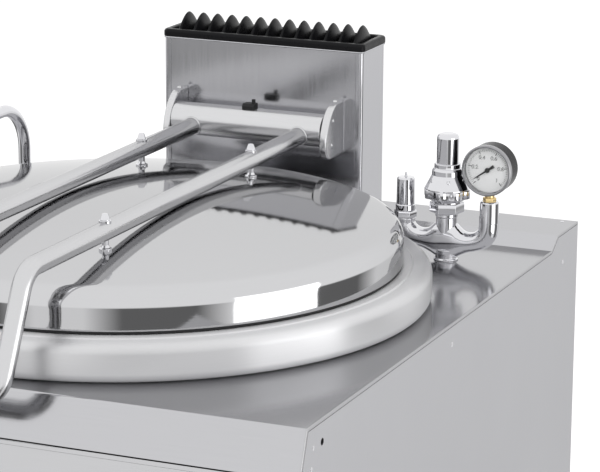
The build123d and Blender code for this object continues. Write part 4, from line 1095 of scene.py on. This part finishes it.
# %% [markdown]
# ## Pressure gauge
#
# The gauge is a pressed round case with a rolled front rim, a flat glass and a white dial.
# Its numbers go round three quarters of the dial. Each number is text turned into a mesh,
# and the marks between the numbers are small flat boxes.

# %% Case, glass and fitting
gauge_front = case_low.y
gauge_radius = (case_high.x - case_low.x) / 2 / mm
gauge_depth = (case_high.y - case_low.y) / mm
dial_radius = 28.5
dial_plane = -7.0
gauge_centre = (gauge_x, gauge_front, gauge_z)


def faced(steps, radius=0.5, segments=96, closed=False):
    """A piece turned about the gauge's axis: steps are (radius, height to the front), in mm."""
    section = rounded(np.array(steps, float), radius, 5, closed)
    return turned(section * mm, gauge_centre, "Y", segments, closed)


piece(
    "gauge_body",
    [
        faced(
            [
                (0, -gauge_depth), (gauge_radius - 3, -gauge_depth),
                (gauge_radius - 1.6, -gauge_depth + 2), (gauge_radius - 1.6, -7), (dial_radius, -7),
                (dial_radius, -gauge_depth + 3), (0, -gauge_depth + 3),
            ],
            0.9,
        ),
    ],
    "cabinet", case_paint, ["gauge_case"],
)
piece(
    "gauge_bezel",
    [
        faced(
            [
                (gauge_radius - 1.0, -7.6), (gauge_radius - 1.0, -1.6), (gauge_radius - 2.6, 0),
                (dial_radius + 0.6, -0.6), (dial_radius + 0.1, -2), (dial_radius + 0.1, -6.4),
                (dial_radius + 0.1, -7.6),
            ],
            0.7, closed=True,
        ),
    ],
    "cabinet", dark_steel,
)
piece(
    "gauge_dial_face", [faced(rectangle(0, dial_plane - 1.5, dial_radius - 0.1, dial_plane), 0.1)],
    "cabinet", dial_paint, ["gauge_dial"],
)
piece(
    "gauge_pane", [faced(rectangle(0, -3, dial_radius - 0.05, -1), 0.1)], "cabinet", glass,
    ["gauge_glass"],
)
fitting_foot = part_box("gauge_fitting")[0].z
nut_outline = rounded(polygon(8.4, 6, 15), 0.4, 2, closed=True) * mm
gauge_nut = plated(nut_outline, fitting_foot, fitting_foot + 8 * mm, 0.5 * mm, centre=(gauge_x, group_y, 0))
neck = turned(
    rectangle(0, fitting_foot + 7 * mm, 6 * mm, gauge_z - 30 * mm), (gauge_x, group_y, 0), "Z", 32
)
piece("gauge_union", [gauge_nut, neck], "cabinet", brass, ["gauge_fitting"])
print("gauge radius", round(gauge_radius, 2), "mm")

# %% Needle, marks and numbers
needle_angle = math.radians(215)
needle_outline = rounded(
    [(22, 0.3), (4, 1.1), (-3, 1.3), (-10, 2.1), (-10, -2.1), (-3, -1.3), (4, -1.1), (22, -0.3)], 0.4, 3,
    closed=True,
)


def spun(outline, angle):
    """An outline on the dial turned anticlockwise by an angle, in metres."""
    turn = np.array([[math.cos(angle), math.sin(angle)], [-math.sin(angle), math.cos(angle)]])
    return outline @ turn * mm


needle_blade = plated(
    spun(needle_outline, needle_angle), (dial_plane + 0.8) * mm, (dial_plane + 1.6) * mm, 0.1 * mm, "Y",
    gauge_centre,
)
needle_hub = [
    (0, dial_plane - 5), (1.4, dial_plane - 5), (1.4, dial_plane + 0.8), (3.2, dial_plane + 0.9),
    (3.2, dial_plane + 2.2), (0, dial_plane + 2.4),
]
piece(
    "gauge_pointer", [needle_blade, faced(needle_hub, 0.3, 32)], "gauge_needle", mark_paint,
    ["gauge_needle"],
)
sweep_start = 225.0
sweep = 270.0
marks = []
for step in range(51):
    big = step % 10 == 0
    turn = math.radians(sweep_start - sweep * step / 50)
    inner_end, outer_end = (21.5, 26.0) if big else (23.6, 26.0)
    wide = 0.45 if big else 0.2
    outline = np.array(rectangle(inner_end, -wide, outer_end, wide))
    mark_top = (dial_plane + 0.12) * mm
    marks.append(plated(spun(outline, turn), dial_plane * mm, mark_top, 0, "Y", gauge_centre, 1))
piece("dial_marks", marks, "cabinet", mark_paint)

number_size = 7.0 * mm
number_thick = 0.06 * mm
number_ring = 17 * mm
numbers = bmesh.new()
for step in range(6):
    text = bpy.data.curves.new("number", "FONT")
    text.body = "0" if step == 0 else ("1" if step == 5 else "0." + str(2 * step))
    text.size = number_size
    text.align_x = "CENTER"
    text.align_y = "CENTER"
    text.extrude = number_thick
    holder = bpy.data.objects.new("number", text)
    bpy.context.scene.collection.objects.link(holder)
    bpy.context.view_layer.update()
    flat = bpy.data.meshes.new_from_object(holder.evaluated_get(bpy.context.evaluated_depsgraph_get()))
    bpy.data.objects.remove(holder)
    bpy.data.curves.remove(text)
    turn = math.radians(sweep_start - sweep * step / 5)
    place = (
        gauge_x + number_ring * math.cos(turn), gauge_front - (dial_plane + 0.1) * mm,
        gauge_z + number_ring * math.sin(turn),
    )
    flat.transform(Matrix.Translation(place) @ Matrix.Rotation(math.pi / 2, 4, "X"))
    numbers.from_mesh(flat)
    bpy.data.meshes.remove(flat)
number_mesh = bpy.data.meshes.new("dial_numbers")
numbers.to_mesh(number_mesh)
numbers.free()
number_mesh.materials.append(mark_paint)
dial_numbers = bpy.data.objects.new("dial_numbers", number_mesh)
bpy.context.scene.collection.objects.link(dial_numbers)
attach(dial_numbers, "cabinet")
print("marks", len(marks), "number faces", len(number_mesh.polygons))

# %% [markdown]
# ## Water spout
#
# Cold and hot water come to the pan through one bent tube that swings in a fixed socket.
# The tube is drawn like the lid frame, as a circle on a path with rounded corners, but it
# is open at its tip, so its wall is seen.

# %% Spout and socket
spout_low, spout_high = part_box("spout")
spout_radius = 8 * mm
spout_x = (spout_low.x + spout_high.x) / 2
spout_y = spout_high.y - spout_radius
spout_crown = spout_high.z - spout_radius
spout_line = rounded(
    [
        (spout_x, spout_y, table_z + 14 * mm), (spout_x, spout_y, spout_crown),
        (spout_x, spout_y - 123 * mm, spout_crown), (spout_x, spout_y - 145 * mm, spout_crown - 22 * mm),
    ],
    [68 * mm, 26 * mm], 24,
)
spout_wall = 1.5 * mm


def open_tube(path, outer, inner, segments=48):
    """A tube with a wall: its outer circles in path order, then its inner circles back."""
    outer_points, _ = piped(path, outer, segments)
    inner_points, _ = piped(path, inner, segments)
    rings = len(path)
    outer_rings = outer_points.reshape(-1, segments, 3)[6 : 6 + rings]
    inner_rings = inner_points.reshape(-1, segments, 3)[6 : 6 + rings]
    return grid_faces(np.concatenate([outer_rings, inner_rings[::-1]]), True, True)


chromed("spout_pipe", [open_tube(spout_line, spout_radius, spout_radius - spout_wall)], ["spout"], "spout")
spout_foot = (spout_x, spout_y, table_z)
chromed(
    "spout_socket",
    [
        stacked([(18, 0), (18, 3.5), (16.4, 5), (13, 6), (13, 30)], spout_foot, 0.8),
        hexagon(14.5, 30, 41.6, spout_foot, 0, 1, 0.8),
        stacked([(10.6, 40), (10.6, 42.6), (8.4, 43.4)], spout_foot, 0.3),
    ],
    ["spout_base"],
)
print("spout crown", round(spout_crown, 4))

# %% [markdown]
# ## Screws and marks
#
# Screws hold the side panels, where their heads lie nearly flush, and the back panel, where
# they stand a little proud. They are small, but on plain sheet they are what the eye finds.

# %% Panel screws
side_x = worktop_high.x
screw_step, middle_screw, apron_screw, low_front_screw = 412, 14, -403, -370
upper_row, apron_row, lower_row = 875, 853, 160
side_screws = [(middle_screw + step * screw_step, upper_row) for step in (-1, 0, 1)]
side_screws += [(apron_screw, apron_row), (low_front_screw, lower_row)]
side_screws += [(middle_screw + step * screw_step, lower_row) for step in (0, 1)]
heads = [
    screw_head((side * side_x, y * mm, z * mm), "X", 3.0 * mm, 0.1 * mm, side)
    for side in (-1, 1)
    for y, z in side_screws
]
chromed("panel_screws", heads)
back_y = worktop_high.y
back_heads = [
    screw_head((x * mm, back_y, z * mm), "Y", 3.0 * mm, 0.9 * mm, -1)
    for x in (-380, 0, 380)
    for z in (140, 520, 890)
]
chromed("back_screws", back_heads)
chromed("ledge_screw", [screw_head((382 * mm, 475 * mm, ledge_top), "Z", 2.6 * mm, 0.8 * mm)])
print("screws", len(heads) + len(back_heads) + 1)

# %% [markdown]
# The grip of a knob is a ridge. A white line is printed on its upper half, on the face that
# looks out from the leaning control panel, and turns with the knob.

# %% Pointer lines
outward = np.array([0, -math.cos(lean), math.sin(lean)])
uphill = np.array([0, math.sin(lean), math.cos(lean)])
pointer_half = 1.1 * mm
pointer_lift = 0.25 * mm
for name in ("gas_knob", "cold_water_knob", "hot_water_knob"):
    grip = np.array([vertex.co[:] for vertex in nodes[name].data.vertices])
    face = (grip @ outward).max()
    low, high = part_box(name)
    top = (grip[(grip @ outward) > face - 0.1 * mm] @ uphill).max()
    outline = rectangle(-pointer_half, top - 13 * mm, pointer_half, top - 1.5 * mm)
    flat, faces = plated(outline, face, face + pointer_lift, 0, steps=1)
    middle_x = (low.x + high.x) / 2
    points = flat[:, :1] * (1, 0, 0) + flat[:, 1:2] * uphill + flat[:, 2:] * outward + (middle_x, 0, 0)
    piece(name + "_line", [(points, faces)], name, dial_paint)
print("pointer lines at", round(face, 4), "out")

# %% [markdown]
# ## Studio
#
# Polished steel has hardly any colour of its own: it shows what stands round it. So the
# light here is mostly a drawn room: white walls, a white soft box, and black flags stood
# at equal steps, which give a chromed tube its black and white stripes. Mirror-like rays
# see this room, matt surfaces see one even grey, and the camera sees plain white.

# %% Room
world = bpy.data.worlds.new("studio")
bpy.context.scene.world = world
world.use_nodes = True
room = world.node_tree
room.nodes.clear()
split = add_node(room, "ShaderNodeSeparateXYZ")
room.links.new(add_node(room, "ShaderNodeTexCoord").outputs["Generated"], split.inputs[0])
backwards = maths(room, "MULTIPLY", split.outputs[1], -1.0)
turn_share = maths(room, "DIVIDE", maths(room, "ARCTAN2", split.outputs[0], backwards), 2 * math.pi)
turn_share = maths(room, "ADD", turn_share, 0.5)
# The room is furnished evenly. Black flags of one size stand at equal steps round its lower
# part, the same on the left as on the right, and the wall above them is plain.
wall = 1.0
low_wall = 0.85
flag = 0.15
flag_count = 4
flag_step = 80
flag_wide = 30
flag_fade = 15
flag_foot, flag_top = -0.2, -0.1


def flagged_wall():
    """The lower wall, brightness by degrees to the right of the front, with a soft-edged dip at each flag."""
    band = add_node(room, "ShaderNodeValToRGB")
    ramp = band.color_ramp
    for end in ramp.elements:
        end.color = [low_wall] * 3 + [1]
    for index in range(flag_count):
        middle = (index - (flag_count - 1) / 2) * flag_step
        for side in (-1, 1):
            inner = middle + side * flag_wide / 2
            for degrees, level in ((inner, flag), (inner + side * flag_fade, low_wall)):
                ramp.elements.new(degrees / 360 + 0.5).color = [level] * 3 + [1]
    room.links.new(turn_share, band.inputs[0])
    return band.outputs[0]


rise = add_node(
    room, "ShaderNodeMapRange", {"From Min": flag_foot, "From Max": flag_top},
    interpolation_type="SMOOTHSTEP",
)
room.links.new(split.outputs[2], rise.inputs["Value"])
walls = add_node(room, "ShaderNodeMix", data_type="FLOAT")
room.links.new(rise.outputs[0], walls.inputs[0])
room.links.new(flagged_wall(), walls.inputs[2])
walls.inputs[3].default_value = wall
room_gain = 1.22
mirror_light = maths(room, "MULTIPLY", walls.outputs[0], room_gain)
rays = add_node(room, "ShaderNodeLightPath")
soft = 0.55
by_gloss = add_node(room, "ShaderNodeMix", data_type="FLOAT")
room.links.new(rays.outputs["Is Glossy Ray"], by_gloss.inputs[0])
by_gloss.inputs[2].default_value = soft
room.links.new(mirror_light, by_gloss.inputs[3])
seen = maths(room, "MAXIMUM", rays.outputs["Is Camera Ray"], rays.outputs["Is Transmission Ray"])
by_camera = add_node(room, "ShaderNodeMix", data_type="FLOAT")
room.links.new(seen, by_camera.inputs[0])
room.links.new(by_gloss.outputs[0], by_camera.inputs[2])
by_camera.inputs[3].default_value = 1.0
glow = add_node(room, "ShaderNodeBackground")
room.links.new(by_camera.outputs[0], glow.inputs["Color"])
room.links.new(glow.outputs[0], add_node(room, "ShaderNodeOutputWorld").inputs[0])
print("black flags in the room", flag_count)

# %% Floor and lamps
floor_size = 60.0
bpy.ops.mesh.primitive_plane_add(size=floor_size, location=(0, 0, -0.0005))
floor = bpy.context.object
floor.name = "studio_floor"
floor_material, tree, shader, place = start_material("studio_floor")
speckle = noise(tree, place, (1, 1, 1), 30.0, 3.0)
tinted(tree, shader, speckle, (0.80, 0.80, 0.80), 0.01)
shader.inputs["Roughness"].default_value = 0.9
floor_rays = add_node(tree, "ShaderNodeLightPath")
floor_glow = maths(tree, "MULTIPLY", floor_rays.outputs["Is Camera Ray"], 0.6)
tree.links.new(floor_glow, shader.inputs["Emission Strength"])
shader.inputs["Emission Color"].default_value = (1, 1, 1, 1)
floor.data.materials.append(floor_material)
floor.visible_glossy = False


def lamp(name, place, target, size, power):
    """A square area lamp that shines from place to target and is hidden from mirrors."""
    data = bpy.data.lights.new(name, "AREA")
    data.energy = power
    data.size = size
    thing = bpy.data.objects.new(name, data)
    aim = Vector(target) - Vector(place)
    thing.matrix_world = Matrix.Translation(place) @ aim.to_track_quat("-Z", "Y").to_matrix().to_4x4()
    thing.visible_glossy = False
    bpy.context.scene.collection.objects.link(thing)
    return thing


soft_box_power = 2.6
soft_box_x = 1.5
soft_box_y = (-0.70, 0.28)
soft_box_z = (0.40, 1.25)
soft_box_points = np.array([[(soft_box_x, y, z) for y in soft_box_y] for z in soft_box_z])
box_points, box_faces = grid_faces(soft_box_points)
box_mesh = bpy.data.meshes.new("soft_box")
box_mesh.from_pydata(box_points.tolist(), [], box_faces.tolist())
soft_box = bpy.data.objects.new("soft_box", box_mesh)
bpy.context.scene.collection.objects.link(soft_box)
box_material, tree, shader, place = start_material("soft_box_cloth")
shader.inputs["Base Color"].default_value = (0, 0, 0, 1)
shader.inputs["Specular IOR Level"].default_value = 0
shader.inputs["Emission Color"].default_value = (1, 1, 1, 1)
shader.inputs["Emission Strength"].default_value = soft_box_power
box_mesh.materials.append(box_material)
soft_box.visible_camera = False
soft_box.visible_diffuse = False
soft_box.visible_transmission = False
soft_box.visible_shadow = False

lamp("key_lamp", (2.6, -2.4, 3.2), (0, 0, 0.8), 2.2, 90)
lamp("fill_lamp", (-3.0, -1.6, 2.4), (0, 0, 0.8), 2.5, 35)

# %% [markdown]
# ## Camera
#
# The camera looks from the front right, a little from above, through a long lens, so the
# upright edges stay nearly parallel. Its rotation is written as three directions: right,
# up and back.

# %% Camera
turn, tilt, roll = math.radians(23.026), math.radians(14.254), math.radians(0.392)
camera_place = Vector((1.4698, -2.9541, 1.8033))
focal_pixels = 2842.5
image_width = 600
right = Vector((math.cos(turn), math.sin(turn), 0))
ahead = Vector((-math.sin(turn) * math.cos(tilt), math.cos(turn) * math.cos(tilt), -math.sin(tilt)))
up = right.cross(ahead)
rolled_right = math.cos(roll) * right + math.sin(roll) * up
rolled_up = math.cos(roll) * up - math.sin(roll) * right
lens = bpy.data.cameras.new("camera")
lens.sensor_width = 36.0
lens.lens = focal_pixels * lens.sensor_width / image_width
lens.clip_end = 200
camera = bpy.data.objects.new("camera", lens)
camera.matrix_world = Matrix.Translation(camera_place) @ Matrix(
    (rolled_right, rolled_up, -ahead)
).transposed().to_4x4()
bpy.context.scene.collection.objects.link(camera)
bpy.context.scene.camera = camera
bpy.context.scene.view_settings.view_transform = "Standard"
print("lens", round(lens.lens, 2), "mm")
